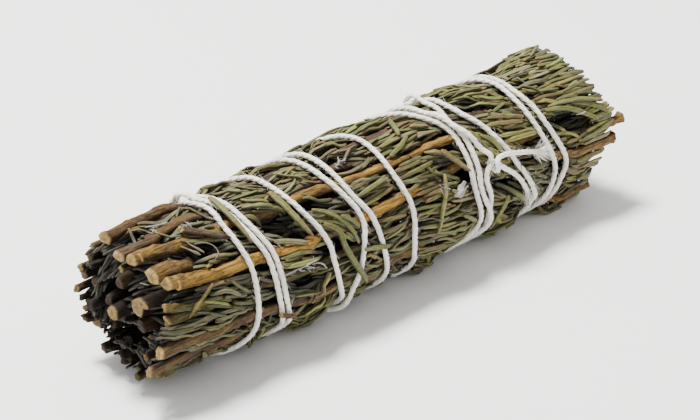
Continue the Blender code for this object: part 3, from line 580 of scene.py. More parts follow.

# Colours, and where they lie on a scale of tint or noise
# The painted shade deep inside the bundle, a dark bluish colour that stands in for the shade between
# the sprigs
PAINTED_INSIDE_SHADE = (0.074, 0.070, 0.080)
LEAF_COLOURS = (
    (0.0, (0.037, 0.039, 0.013)),
    (0.22, (0.071, 0.079, 0.019)),
    (0.45, (0.114, 0.123, 0.028)),
    (0.66, (0.152, 0.141, 0.037)),
    (0.83, (0.142, 0.085, 0.031)),
    (1.0, (0.216, 0.206, 0.048)),
)
FRESH_LEAF = (0.200, 0.235, 0.045)
WITHERED_LEAF = (0.105, 0.052, 0.018)
LEAF_UNDERSIDE = (0.240, 0.225, 0.120)
# A painted highlight along the top of each rolled needle
LEAF_RIDGE_HIGHLIGHT = (0.235, 0.225, 0.070)
# Painted shade on the sides of each rolled needle
LEAF_EDGE_SHADE = (0.034, 0.034, 0.024)
LEAF_TIP = (0.130, 0.075, 0.022)
LEAF_FOOT = (0.160, 0.110, 0.036)
BARK_COLOURS = (
    (0.0, (0.064, 0.043, 0.030)),
    (0.2, (0.104, 0.062, 0.025)),
    (0.42, (0.172, 0.100, 0.028)),
    (0.62, (0.250, 0.138, 0.023)),
    (0.8, (0.266, 0.168, 0.034)),
    (1.0, (0.122, 0.106, 0.026)),
)
BARK_CRACKS = (0.040, 0.020, 0.012)
BARK_FLAKES = (0.420, 0.300, 0.160)
BARK_KNOTS = (0.085, 0.045, 0.022)
BARK_COLLAR = (0.090, 0.034, 0.016)
WOOD_COLOURS = (
    (0.25, (0.190, 0.112, 0.034)),
    (0.52, (0.370, 0.255, 0.095)),
    (0.8, (0.520, 0.405, 0.190)),
)
PITH = (0.210, 0.120, 0.050)
COTTON_COLOURS = (
    (0.25, (0.60, 0.57, 0.48)),
    (0.5, (0.87, 0.84, 0.75)),
    (0.75, (0.95, 0.935, 0.87)),
)

# The floor, and the camera: its lens in mm, and the rest in metres
FLOOR_SIZE = 3.0
LENS = 162.3
BACK = Vector((-0.6264, -0.6337, 0.4540)).normalized()
RIGHT = Vector((0.7112, -0.7030, 0.0)).normalized()
UP = BACK.cross(RIGHT)
AIM = Vector((SHIFT_X, SHIFT_Y, AXIS_HEIGHT)) * MM
CAMERA_LEFT = 0.000837
CAMERA_DOWN = 0.000244
CAMERA_DISTANCE = 0.55


# ---------------------------------------------------------------- places and routes


def ease(share):
    """A smooth rise from 0 to 1, held at both ends."""
    share = np.clip(share, 0.0, 1.0)
    return share * share * (3 - 2 * share)


def soften(line):
    """The line with each value averaged with its neighbours."""
    padded = np.concatenate([[line[0]] * 2, line, [line[-1]] * 2])
    return np.convolve(padded, SOFTEN, "valid")


def smooth_between(stations, values, x):
    """The value at each x, easing from each station to the next."""
    x = np.asarray(x, float)
    result = np.full(x.shape, float(values[0]))
    for low, high, first, second in zip(stations, stations[1:], values, values[1:]):
        here = first + (second - first) * ease((x - low) / (high - low))
        result = np.where(x > low, here, result)
    return result


def spot(x, angle, radius):
    """World places, in millimetres, of x, an angle in degrees and a radius."""
    turn = np.radians(angle)
    x, turn, radius = np.broadcast_arrays(x, turn, radius)
    y = SHIFT_Y - radius * np.sin(turn)
    z = AXIS_HEIGHT + radius * np.cos(turn)
    return np.stack([x + SHIFT_X, y, z], axis=-1)


def outline(x, angle):
    """How far the bundle reaches at each place: wider and flat at the bottom, where it rests."""
    angle = np.mod(angle, 360)
    from_bottom = np.abs(angle - 180)
    full, none = BASE_HALF_ANGLE
    reach = np.interp(x, OUTLINE_X, OUTLINE_RADIUS)
    spread = BASE_SPREAD * (0.2 + 0.8 * ease((x + 50) / 20))
    reach = reach + spread * (1 - ease((from_bottom - full) / (none - full)))
    low, high, fade = THIN_ANGLES
    low_front = ease((angle - low) / fade) * ease((high - angle) / fade)
    reach = reach - THIN_END * ease((THIN_END_X - x) / THIN_END_FADE) * low_front
    tuft_x, tuft_angle, tuft_height, half_long, half_wide = TUFT
    apart = ((x - tuft_x) / half_long) ** 2 + ((angle - tuft_angle) / half_wide) ** 2
    reach = reach + tuft_height * np.exp(-apart)
    down = np.cos(np.radians(np.minimum(from_bottom, TRIMMED_ANGLE)))
    return np.minimum(reach, (AXIS_HEIGHT - FLOOR_GAP) / down)


def wrap_radius(x):
    return WRAP_RADIUS - WRAP_TAPER * (x / WRAP_TAPER_AT) ** 2


def round_spline(points, step):
    """Points about a step apart on a smooth curve through the given points."""
    points = np.array(points, dtype=float)
    ends = 2 * points[[0, -1]] - points[[1, -2]]
    points = np.vstack([ends[:1], points, ends[1:]])
    samples = []
    for p0, p1, p2, p3 in zip(points, points[1:], points[2:], points[3:]):
        gaps = [np.linalg.norm(b - a) ** 0.5 for a, b in ((p0, p1), (p1, p2), (p2, p3))]
        t0, t1, t2, t3 = np.cumsum([0.0] + gaps)
        count = max(1, round(np.linalg.norm(p2 - p1) / step))
        t = np.linspace(t1, t2, count, endpoint=False)[:, None]
        a1 = (t1 - t) / (t1 - t0) * p0 + (t - t0) / (t1 - t0) * p1
        a2 = (t2 - t) / (t2 - t1) * p1 + (t - t1) / (t2 - t1) * p2
        a3 = (t3 - t) / (t3 - t2) * p2 + (t - t2) / (t3 - t2) * p3
        b1 = (t2 - t) / (t2 - t0) * a1 + (t - t0) / (t2 - t0) * a2
        b2 = (t3 - t) / (t3 - t1) * a2 + (t - t1) / (t3 - t1) * a3
        samples.append((t2 - t) / (t2 - t1) * b1 + (t - t1) / (t2 - t1) * b2)
    samples.append(points[-2:-1])
    return np.vstack(samples)


def twine_samples():
    """Close points along the twine: x, angle and height over the wrap radius.

    Each later stretch climbs over every earlier one that it crosses.
    """
    flat = []
    for turn, route in enumerate(TWINE_TURNS):
        for x, angle, *height in route:
            around = math.radians(angle + 360 * turn) * WRAP_RADIUS
            knot = KNOT_MARK if height else 0.0
            flat.append((x, around, height[0] if height else 0.0, knot))
    x, around, height, knot = round_spline(flat, TWINE_STEP).T
    height = np.maximum(height, 0.0)
    in_knot = knot > KNOT_MARK / 2
    along = np.concatenate([[0.0], np.cumsum(np.hypot(np.diff(x), np.diff(around)))])
    girth = 2 * math.pi * WRAP_RADIUS
    round_gap = around[:, None] - around[None, :]
    round_gap -= girth * np.round(round_gap / girth)
    apart = np.hypot(x[:, None] - x[None, :], round_gap)
    near = (apart < STRAND_SPACING) & (along[:, None] - along[None, :] > SELF_CROSSING)
    near &= ~(in_knot[:, None] & in_knot[None, :])
    rise = np.sqrt(np.maximum(STRAND_SPACING**2 - apart**2, 0.0))
    reach = np.abs(along[:, None] - along[None, :]) * CLIMB
    for _ in range(STACKING_ROUNDS):
        over = np.where(near, height[None, :] + rise, 0.0).max(axis=1)
        height = np.where(in_knot, height, np.maximum(height, over))
        climb = np.where(in_knot[None, :], 0.0, height[None, :] - reach).max(axis=1)
        height = np.where(in_knot, height, np.maximum(height, climb))
    return x, np.degrees(around / WRAP_RADIUS), soften(soften(height))


# ---------------------------------------------------------------- sprigs


def on_track(values):
    """The angle along a track, as a function of x."""
    return lambda x: smooth_between(STATIONS, values, x)


def on_slant(angle, turn):
    """The angle along a stem of an inner ring, which turns evenly along the bundle."""
    return lambda x: angle + turn * np.asarray(x) / STATIONS[-1]


def turned(angle_at, from_x, over, degrees):
    """The same angle as a function of x, turned further past from_x."""
    return lambda x: angle_at(x) + degrees * ease((x - from_x) / over)


class Sprig:
    """One sprig: where its stem runs, and the leaves that have been laid along it."""

    def __init__(self, number, angle_at, radius, cut, tip, diameter, raised):
        self.number = number
        self.angle_at = angle_at
        self.radius = radius
        self.cut = cut
        self.tip = tip
        self.sign = 1 if tip > cut else -1
        self.diameter = diameter
        self.raised = raised
        self.bare_top = BARE_TOPS.get(number, USUAL_BARE_TOP)
        self.bare = []
        self.leaves = []

    def radius_at(self, x):
        radius = np.full(np.shape(x), float(self.radius))
        if self.raised:
            from_cut = (x - self.cut) * self.sign
            radius = radius + RAISED * (1 - ease((from_cut - RAISED_LENGTH) / RAISED_FADE))
        for low, high in self.bare:
            inside = ease((x - low + BARE_FADE) / BARE_FADE)
            inside = inside * ease((high + BARE_FADE - x) / BARE_FADE)
            surface = self.bare_top - self.half_width(x)
            radius = radius + np.maximum(surface - radius, 0) * inside
        return radius

    def half_width(self, x):
        """The stem's radius, which shrinks slowly, and quickly at the tip."""
        share = np.clip((x - self.cut) / (self.tip - self.cut), 0, 1)
        return self.diameter / 2 * (1 - 0.32 * share - 0.35 * ease((share - 0.8) / 0.2))


def make_outer_sprigs():
    sprigs = []
    for number, (track, cut, tip, diameter, raised) in enumerate(OUTER_SPRIGS, 1):
        radius = BOTTOM_RADIUS if track in BOTTOM_TRACKS else OUTER_RADIUS
        sprig = Sprig(number, on_track(OUTER_TRACKS[track]), radius, cut, tip, diameter, raised)
        low_end, high_end = sorted((cut, tip))
        for name, low, high in BARE_STRETCHES:
            if name == track and low < high_end and high > low_end:
                sprig.bare.append((max(low, low_end), min(high, high_end)))
        sprigs.append(sprig)
    for number, from_x, over, degrees in TURNED_ENDS:
        sprig = sprigs[number - 1]
        sprig.angle_at = turned(sprig.angle_at, from_x, over, degrees)
    return sprigs


def make_ring(first_number, count, radius, first_angle, turn, rng):
    """The sprigs of an inner ring, evenly spaced and cut to slightly different lengths."""
    sprigs = []
    for index in range(count):
        angle_at = on_slant(first_angle + 360 * index / count, turn)
        cut, tip = rng.uniform(-56.0, -50.5), rng.uniform(36.0, 44.0)
        diameter = rng.uniform(1.9, 2.3)
        sprigs.append(Sprig(first_number + index, angle_at, radius, cut, tip, diameter, False))
    return sprigs


# ---------------------------------------------------------------- laying leaves in layers


class Shell:
    """The bundle's surface unrolled at one radius: how high things reach at each place so far,
    and how high they may reach. u is the length round the surface from the top. The leaves of
    a fine one, the outer, have the finer section."""

    def __init__(self, radius, base, limit, sprigs=(), fine=False):
        self.radius = radius
        self.girth = 2 * math.pi * radius
        self.count_x = int((X_HIGH - X_LOW) / CELL)
        self.count_u = int(self.girth / CELL)
        self.height = np.full((self.count_x, self.count_u), float(base))
        self.limit = np.full((self.count_x, self.count_u), float(limit))
        self.x = X_LOW + (np.arange(self.count_x) + 0.5) * CELL
        self.u = (np.arange(self.count_u) + 0.5) * self.girth / self.count_u
        self.sprigs = sprigs
        self.fine = fine

    def cells(self, x, u):
        i = ((x - X_LOW) / CELL).astype(int)
        j = np.floor(u / self.girth * self.count_u).astype(int)
        return np.clip(i, 0, self.count_x - 1), j % self.count_u

    def cells_beside(self, x, u, side):
        """The cells beside a line, at each distance in side from it."""
        way_x, way_u = np.gradient(x), np.gradient(u)
        size = np.maximum(np.hypot(way_x, way_u), 1e-9)
        return self.cells(
            x[:, None] - (way_u / size)[:, None] * side,
            u[:, None] + (way_x / size)[:, None] * side,
        )

    def u_of(self, angle):
        return np.radians(angle) * self.radius

    def raise_line(self, x, u, half_width, top, round_top=True):
        """Records a long body whose highest line is given, with its half width."""
        size = np.hypot(np.gradient(x), np.gradient(u))
        count = max(2, int(size.sum() / (CELL * 0.8)))
        share = np.linspace(0, len(x) - 1, count)
        x, u, half_width, top = (
            np.interp(share, np.arange(len(x)), line) for line in (x, u, half_width, top)
        )
        side = np.linspace(-1, 1, 13)
        drop = 0.25 * side**2
        if round_top:
            drop = half_width[:, None] * (1 - np.sqrt(1 - side**2 * 0.96))
        at = self.cells_beside(x, u, half_width[:, None] * side)
        np.maximum.at(self.height, at, top[:, None] - drop)

    def add_stem(self, sprig):
        low, high = sorted((sprig.cut, sprig.tip))
        x = np.linspace(low, high, 260)
        half = sprig.half_width(x)
        self.raise_line(x, self.u_of(sprig.angle_at(x)), half, sprig.radius_at(x) + half)

    def lay(self, x, u, width, thick, start_radius, slack=0.3, free=False):
        """The heights of a leaf along (x, u) that rests on what is below it, or None for no room.

        A free one may reach as high as it needs to.
        """
        at = self.cells_beside(x, u, ACROSS * width)
        under = self.height[at].max(axis=1) + thick * MIDDLE_OVER
        limit = NO_LIMIT if free else self.limit[at].min(axis=1)
        over = limit - thick * 0.5
        share = np.linspace(0, 1, len(x))
        under = start_radius + (under - start_radius) * ease(share / FOOT_RISES)
        line = under
        for _ in range(5):
            line = np.maximum(under, soften(line))
        past_foot = share > FOOT
        excess = np.maximum(line - over, 0.0)[past_foot]
        if excess.max() > slack or excess.mean() > slack * 0.4:
            return None
        return soften(np.where(past_foot, np.minimum(line, over), line))


# A leaf: x, angle and radius along it, its width and thickness, how far it is rolled and
# twisted in degrees, whether its section is fine, and its tint
Leaf = namedtuple("Leaf", "x angle radius width thick roll twist fine tint", defaults=(ANY_TINT,))


def heading_at(x, angle, waves):
    """The usual direction of the needles at a place, in degrees from the bundle's length."""
    around = math.radians((angle + 180) % 360 - 180) * FLOW_RADIUS
    apart = (FLOW_PLACES[:, 0] - x) ** 2 + (FLOW_PLACES[:, 1] - around) ** 2
    weight = np.exp(-apart / FLOW_REACH**2)
    drift = USUAL_HEADING
    for wave_x, turns, phase, size in waves:
        drift += size * math.sin(wave_x * x + turns * math.radians(angle) + phase)
    near = (weight * FLOW_PLACES[:, 2]).sum()
    return (drift * DRIFT_WEIGHT + near) / (DRIFT_WEIGHT + weight.sum())


def lay_leaf(shell, rng, x0, u0, length, heading, width, slack, start, sign):
    """Lays one leaf from (x0, u0), which is its foot, and gives it to the nearest sprig."""
    fine = shell.fine
    share = np.linspace(0, 1, LINE_STEPS)
    curl = math.radians(rng.normal(0, 11))
    if x0 > TIDY_FROM:
        curl *= 0.6
    elif rng.random() < CURLED:
        curl = math.radians(rng.uniform(40, 75)) * rng.choice((-1, 1))
    way = math.radians(heading) + curl * (share - 0.35)
    x = x0 + sign * length / LINE_STEPS * np.cumsum(np.cos(way))
    place = math.degrees(u0 / shell.radius) % 360
    first = np.interp(place, ROUND_ANGLES, CUT_FACE) if fine else INNER_CUT_FACE
    last = np.interp(place, ROUND_ANGLES, TIP_FACE) + (0.0 if fine else 1.2)
    x = x + max(0.0, first + rng.normal(0, 0.9) - x.min())
    x = x - max(0.0, x.max() - last - rng.normal(0, 0.9))
    u = u0 + sign * length / LINE_STEPS * np.cumsum(np.sin(way))
    thick = width * rng.uniform(0.50, 0.68)
    radius = shell.lay(x, u, width, thick, start, slack)
    if radius is None:
        return False
    shell.raise_line(x, u, np.full(LINE_STEPS, width / 2), radius + thick * 0.48, False)
    middle_x, middle_u = x[LINE_STEPS // 2], u[LINE_STEPS // 2]
    gaps = []
    for sprig in shell.sprigs:
        gap = middle_u - float(shell.u_of(sprig.angle_at(middle_x)))
        gap -= shell.girth * round(gap / shell.girth)
        low, high = sorted((sprig.cut, sprig.tip))
        gaps.append(abs(gap) + max(0.0, low - middle_x, middle_x - high))
    owner = shell.sprigs[int(np.argmin(gaps))]
    roll = rng.normal(0, 20 if fine else 55) + (180 if rng.random() < ROLLED_OVER else 0)
    angle = np.degrees(u / shell.radius)
    owner.leaves.append(Leaf(x, angle, radius, width, thick, roll, rng.normal(0, 16), fine))
    return True


def cover(shell, rng, waves, most, depth, lengths, widths, slack, ends):
    """Lays leaves where there is still room for more than depth, until few such places are left."""
    made = 0
    low_x, high_x = ends
    angles = np.degrees(shell.u / shell.radius)
    first = np.interp(angles, ROUND_ANGLES, CUT_FACE)[None, :]
    last = np.interp(angles, ROUND_ANGLES, TIP_FACE)[None, :]
    rows = shell.x[:, None]
    inside = (rows > np.maximum(first, low_x)) & (rows < np.minimum(last, high_x))
    for _ in range(most // BATCH * 3):
        low = (shell.limit - shell.height > depth) & inside & (shell.limit > 1)
        where = np.argwhere(low)
        if len(where) < FEW_PLACES or made >= most:
            break
        for i, j in where[rng.integers(0, len(where), BATCH)]:
            x, u = shell.x[i], shell.u[j]
            length = rng.uniform(*lengths)
            heading = heading_at(x, math.degrees(u / shell.radius), waves) + rng.normal(0, 8)
            if x < TIDY_FROM and rng.random() < CROSSWISE:
                heading += rng.uniform(20, 60) * rng.choice((-1, 1))
                length *= 0.8
            sign = -1 if rng.random() < BACKWARDS else 1
            back = length * rng.uniform(0.25, 0.75) * sign
            turn = math.radians(heading)
            x0, u0 = x - back * math.cos(turn), u - back * math.sin(turn)
            i0, j0 = shell.cells(np.array(x0), np.array(u0))
            start = min(shell.height[i0, j0] + 0.3, shell.limit[i, j])
            width = rng.uniform(*widths)
            made += lay_leaf(shell, rng, x0, u0, length, heading, width, slack, start, sign)


def leave_hollow(shell, x, angle, half_x, half_u, tilt):
    """Keeps leaves low in a slanted oval."""
    dx = shell.x[:, None] - x
    du = shell.u[None, :] - shell.u_of(angle) % shell.girth
    du = du - shell.girth * np.round(du / shell.girth)
    turn = math.radians(tilt)
    along = dx * math.cos(turn) + du * math.sin(turn)
    across = du * math.cos(turn) - dx * math.sin(turn)
    inside = (along / half_x) ** 2 + (across / half_u) ** 2 < 1
    shell.limit[inside] = np.minimum(shell.limit[inside], HOLLOW_LEVEL)


def leave_hollows(shell, rng):
    """The hollows of the side that is known, then some at random round the back."""
    for hollow in HOLLOWS:
        leave_hollow(shell, *hollow)
    for _ in range(BACK_HOLLOWS):
        x, angle = rng.uniform(-46, 46), rng.uniform(140, 335)
        half_x, half_u = rng.uniform(1.6, 3.4), rng.uniform(0.8, 1.4)
        leave_hollow(shell, x, angle, half_x, half_u, rng.uniform(-30, 40))


def leave_bare(shell, sprig):
    """Keeps leaves off the stretches where a stem lies bare."""
    for low, high in sprig.bare:
        x = np.arange(low, high, CELL)
        u = shell.u_of(sprig.angle_at(x))
        half = sprig.half_width(x) * 0.75
        for side in np.linspace(-1, 1, 15):
            shell.limit[shell.cells(x, u + side * half)] = BARE_LIMIT


def press_under_twine(shell, samples):
    """Lowers the limit beside every strand, so that the leaves pass under it and swell between."""
    steps = int(PRESS_REACH / CELL)
    for x, angle, height in zip(*samples):
        u = float(shell.u_of(angle) % shell.girth)
        i0, j0 = shell.cells(np.array(x), np.array(u))
        i = np.arange(max(i0 - steps, 0), min(i0 + steps + 1, shell.count_x))
        j = np.arange(j0 - steps, j0 + steps + 1)
        du = (j + 0.5) * shell.girth / shell.count_u - u
        apart = np.hypot(shell.x[i][:, None] - x, du[None, :])
        swell = SWELL * ease((apart - SWELL_FROM) / SWELL_OVER)
        level = wrap_radius(x) + height - PRESS_DEPTH + swell
        down = np.cos(np.radians(angle) - math.pi)
        if down > 0.5:
            level = np.minimum(level, (AXIS_HEIGHT - PRESS_FLOOR_ROOM) / down + swell)
        patch = np.ix_(i, j % shell.count_u)
        before = shell.limit[patch]
        shell.limit[patch] = np.where(apart < PRESS_REACH, np.minimum(before, level), before)


def keep_under_twine(points, pressed):
    """Pushes in whatever would stand over the twine."""
    y, z = points[..., 1] - SHIFT_Y, points[..., 2] - AXIS_HEIGHT
    at = pressed.cells(points[..., 0] - SHIFT_X, np.arctan2(-y, z) * pressed.radius)
    share = np.minimum(1.0, (pressed.limit[at] + STEM_UNDER_TWINE) / np.hypot(y, z))
    points[..., 1] = SHIFT_Y + y * share
    points[..., 2] = AXIS_HEIGHT + z * share


def straight_run(shell, places, count):
    """Evenly spaced points on a smooth curve through (x, angle) places, as x and u."""
    flat = [(x, math.radians(angle) * shell.radius) for x, angle in places]
    line = round_spline(flat, RUN_STEP)
    gone = np.concatenate([[0.0], np.cumsum(np.hypot(*np.diff(line, axis=0).T))])
    even = np.linspace(0, gone[-1], count)
    return np.interp(even, gone, line[:, 0]), np.interp(even, gone, line[:, 1])


def rest_on(shell, places, width, thick):
    """x, angle and radius of a bit that lies on whatever is below it."""
    x, u = straight_run(shell, places, LINE_STEPS)
    i, j = shell.cells(x, u)
    start = shell.height[i[0], j[0]] + thick / 2
    radius = shell.lay(x, u, width, thick, start, free=True)
    shell.raise_line(x, u, np.full(LINE_STEPS, width / 2), radius + thick * 0.45, False)
    return x, np.degrees(u / shell.radius), radius


def give_to_nearest(shell, leaf):
    """Gives a leaf to the sprig whose stem has the angle nearest to the leaf's."""
    at = LINE_STEPS // 2 - 1
    gaps = [
        abs((float(sprig.angle_at(leaf.x[at])) - leaf.angle[at] + 180) % 360 - 180)
        for sprig in shell.sprigs
    ]
    shell.sprigs[int(np.argmin(gaps))].leaves.append(leaf)


def lay_heroes(shell, rng):
    """The single needles that stand out."""
    for width, tint, rolled, places in HEROES:
        thick = width * SINGLE_THICKNESS
        line = rest_on(shell, places, width, thick)
        roll = 180 if rolled else rng.normal(0, 12)
        leaf = Leaf(*line, width, thick, roll, rng.normal(0, 14), True, tint)
        give_to_nearest(shell, leaf)


def lay_back_needles(shell, rng):
    """Single needles that stand out round the back, at random."""
    for _ in range(BACK_NEEDLES):
        x, angle = rng.uniform(-48, 48), rng.uniform(135, 340)
        heading, length = math.radians(rng.normal(14, 26)), rng.uniform(5, 12)
        bow = rng.normal(0, 4)
        step_x = length / 2 * math.cos(heading)
        step_angle = math.degrees(length / 2 * math.sin(heading) / shell.radius)
        places = (
            (x - step_x, angle - step_angle), (x, angle + bow), (x + step_x, angle + step_angle),
        )
        width = rng.uniform(0.75, 1.15)
        thick = width * SINGLE_THICKNESS
        line = rest_on(shell, places, width, thick)
        if abs(line[0]).max() < BACK_NEEDLES_END:
            roll = 180 if rng.random() < 0.25 else rng.normal(0, 14)
            leaf = Leaf(*line, width, thick, roll, 12, True, rng.uniform(0.2, 1.0))
            give_to_nearest(shell, leaf)


# ---------------------------------------------------------------- meshes


def tube_faces(count, rings, sides):
    """Corners and sizes of the faces of closed tubes whose points run round, then along."""
    ring = np.arange(rings - 1)[:, None] * sides
    side = np.arange(sides)[None, :]
    after = (side + 1) % sides
    quads = np.stack([ring + side, ring + after, ring + sides + after, ring + sides + side], -1)
    low_cap = np.arange(sides)[::-1]
    high_cap = (rings - 1) * sides + np.arange(sides)
    corners = np.concatenate([quads.ravel(), low_cap, high_cap])
    sizes = np.concatenate([np.full((rings - 1) * sides, 4), [sides, sides]])
    shift = np.arange(count)[:, None] * rings * sides
    return (corners[None, :] + shift).ravel(), np.tile(sizes, count)


class Stock:
    """Points, faces and per-point values gathered for one mesh."""

    def __init__(self):
        self.points = []
        self.corners = []
        self.sizes = []
        self.values = {}
        self.count = 0

    def add(self, points, **values):
        """Adds closed tubes: points is (tubes, rings, sides, 3), in millimetres.

        A value with four axes is a vector at each point, and any other is a number.
        """
        count, rings, sides = points.shape[:3]
        corners, sizes = tube_faces(count, rings, sides)
        self.points.append(points.reshape(-1, 3))
        self.corners.append(corners + self.count)
        self.sizes.append(sizes)
        for name, value in values.items():
            if np.ndim(value) == 4:
                flat = np.broadcast_to(value, points.shape).reshape(-1, 3)
            else:
                flat = np.broadcast_to(value, points.shape[:3]).ravel()
            self.values.setdefault(name, []).append(flat)
        self.count += count * rings * sides

    def make(self, name, material, slot, *replaced):
        """Makes the mesh a piece of the bundle."""
        points = np.concatenate(self.points) * MM
        corners = np.concatenate(self.corners)
        sizes = np.concatenate(self.sizes)
        mesh = bpy.data.meshes.new(name)
        mesh.vertices.add(len(points))
        mesh.vertices.foreach_set("co", points.astype(np.float32).ravel())
        mesh.loops.add(len(corners))
        mesh.loops.foreach_set("vertex_index", corners.astype(np.int32))
        mesh.polygons.add(len(sizes))
        starts = np.concatenate([[0], np.cumsum(sizes)[:-1]])
        mesh.polygons.foreach_set("loop_start", starts.astype(np.int32))
        mesh.update(calc_edges=True)
        mesh.shade_smooth()
        for key, parts in self.values.items():
            value = np.concatenate(parts).astype(np.float32)
            kind, field = ("FLOAT_VECTOR", "vector") if value.ndim == 2 else ("FLOAT", "value")
            layer = mesh.attributes.new(key, kind, "POINT")
            layer.data.foreach_set(field, value.ravel())
        mesh.materials.append(material)
        piece = bpy.data.objects.new(name, mesh)
        bpy.context.scene.collection.objects.link(piece)
        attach(piece, "root")
        if replaced:
            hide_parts(*replaced)


def unit(vectors):
    return vectors / np.maximum(np.linalg.norm(vectors, axis=-1, keepdims=True), 1e-12)


def frames(centre, up):
    """The way along each line, and a normal near up and a side at right angles to it."""
    way = unit(np.gradient(centre, axis=-2))
    normal = unit(up - (up * way).sum(-1, keepdims=True) * way)
    return way, normal, np.cross(normal, way)


def outward(angle):
    turn = np.radians(angle)
    return np.stack([np.zeros_like(turn), -np.sin(turn), np.cos(turn)], axis=-1)


def even_turns(sides):
    """The directions of a section's corners, in radians."""
    return np.arange(sides) / sides * 2 * math.pi


def sweep(line, first, second, by_first, by_second):
    """Sections round a line, whose points lie by these distances along two directions."""
    return (
        line[..., None, :]
        + first[..., None, :] * by_first[..., None]
        + second[..., None, :] * by_second[..., None]
    )


def turned_round(normal, side, roll):
    """The normal and side, turned round the line by roll."""
    return normal * np.cos(roll) + side * np.sin(roll), side * np.cos(roll) - normal * np.sin(roll)


def over_floor(points):
    """The points, with those that would be under the floor lifted onto it."""
    points[..., 2] = np.maximum(points[..., 2], FLOOR_GAP)
    return points


def depth_of(points):
    """The mask of the painted shade inside the bundle: 0 at the outside, 1 where it is deep inside,
    less near the leafy end.
    """
    x = points[..., 0] - SHIFT_X
    radius = np.hypot(points[..., 1] - SHIFT_Y, points[..., 2] - AXIS_HEIGHT)
    reach = np.interp(x, OUTLINE_X, OUTLINE_RADIUS)
    depth = np.clip((reach - radius - DARK_FROM) / DARK_OVER, 0, 1)
    return depth * (0.25 + 0.75 * ease((OPEN_END_X - x) / OPEN_END_FADE))


def add_leaves(stock, leaves, profile, rng):
    """Adds leaves whose tint is given, or else drawn with a hue and a shade."""
    if not leaves:
        return
    section, shares, widths, thicks = profile
    at = shares * (LINE_STEPS - 1)
    low = np.minimum(at.astype(int), LINE_STEPS - 2)
    part = at - low

    def along(name):
        lines = np.array([getattr(leaf, name) for leaf in leaves])
        return lines[:, low] * (1 - part) + lines[:, low + 1] * part

    x, angle = along("x"), along("angle")
    centre = spot(x, angle, along("radius"))
    _, normal, side = frames(centre, outward(angle))
    width, thick, roll, twist = np.array(
        [(leaf.width, leaf.thick, leaf.roll, leaf.twist) for leaf in leaves]
    ).T[:, :, None]
    roll = np.radians(roll + twist * (shares - 0.4) * 2)[..., None]
    normal, side = turned_round(normal, side, roll)
    wobble = 1 + rng.normal(0, 0.06, (len(leaves), len(shares)))
    half = width / 2 * widths * wobble
    across = half[..., None] * section[:, 0]
    points = over_floor(
        sweep(centre, side, normal, across, (thick * thicks)[..., None] * section[:, 1])
    )
    given = np.array([leaf.tint for leaf in leaves])
    drawn = given == ANY_TINT
    tint = np.where(drawn, rng.random(len(leaves)), given)
    hue = np.where(drawn, rng.random(len(leaves)), 0.5)
    shade = np.where(drawn, rng.uniform(0.62, 1.16, len(leaves)), 1.0)
    middle_x = x.mean(axis=1)
    # Painted shade along the bundle: the leaves are darker towards the cut end, a little lighter
    # towards the tips
    shade *= 0.93 + 0.20 * ease((middle_x + 40) / 22) + 0.03 * ease(middle_x / 30)
    stock.add(
        points,
        tint=tint[:, None, None],
        hue=hue[:, None, None],
        shade=shade[:, None, None],
        along=shares[None, :, None],
        middle=(np.abs(section[:, 0]) < 0.1).astype(float)[None, None, :],
        rim=(np.abs(section[:, 0]) ** 3)[None, None, :],
        under=(section[:, 1] < -0.1).astype(float)[None, None, :],
        depth=depth_of(points),
    )


class Branch:
    """A short woody piece through a few places, which has what add_stem asks of a sprig."""

    def __init__(self, diameter, places):
        x, angles, radii = np.array(places, float).T
        order = np.argsort(x)
        self.cut, self.tip = x[0], x[-1]
        self.sign = 1 if self.tip > self.cut else -1
        self.x, self.angles, self.radii = x[order], angles[order], radii[order]
        self.diameter = diameter

    def angle_at(self, x):
        return np.interp(x, self.x, self.angles)

    def radius_at(self, x):
        return np.interp(x, self.x, self.radii)

    def half_width(self, x):
        share = np.clip((x - self.cut) / (self.tip - self.cut), 0, 1)
        return self.diameter / 2 * (1 - 0.2 * share)


def round_smooth(values):
    """The values with each softened by its neighbours round the stem, the last axis."""
    return (values + 0.7 * np.roll(values, 1, -1) + 0.7 * np.roll(values, -1, -1)) / 1.4


def knots_on(distance, turn, reach, rng):
    """The bumps where pairs of leaves grew, each pair at right angles to the one before."""
    knots = np.zeros((len(distance), len(turn)))
    place, quarter = rng.uniform(2, 5), rng.uniform(0, math.pi)
    while place < reach:
        for face in (quarter, quarter + math.pi):
            near = np.exp(-(((distance - place) / rng.uniform(0.4, 0.8)) ** 2))[:, None]
            around = np.exp(-((1 - np.cos(turn - face)) / 0.3))[None, :]
            knots += near * around * rng.uniform(0.12, 0.46)
        place += rng.uniform(1.8, 4.2)
        quarter += math.pi / 2
    return knots


def uneven(distance, turn, reach, rng):
    """How the bark bulges, as a share of the radius: ridges along the stem, lumps and grain."""
    drift = distance[:, None] * rng.normal(0, 0.03)
    ridges = sum(
        size * np.sin(turn[None, :] * waves_round + drift + rng.uniform(0, 6))
        for waves_round, size in RIDGES
    )
    lumps = round_smooth(rng.normal(0, 0.11, (int(reach / LUMP_STEP) + 3, len(turn))))
    place = distance / LUMP_STEP
    low = place.astype(int)
    part = (place - low)[:, None]
    lumps = lumps[low] * (1 - part) + lumps[low + 1] * part
    grain = rng.normal(0, 0.025, (len(distance), len(turn)))
    return 1 + ridges + lumps + grain


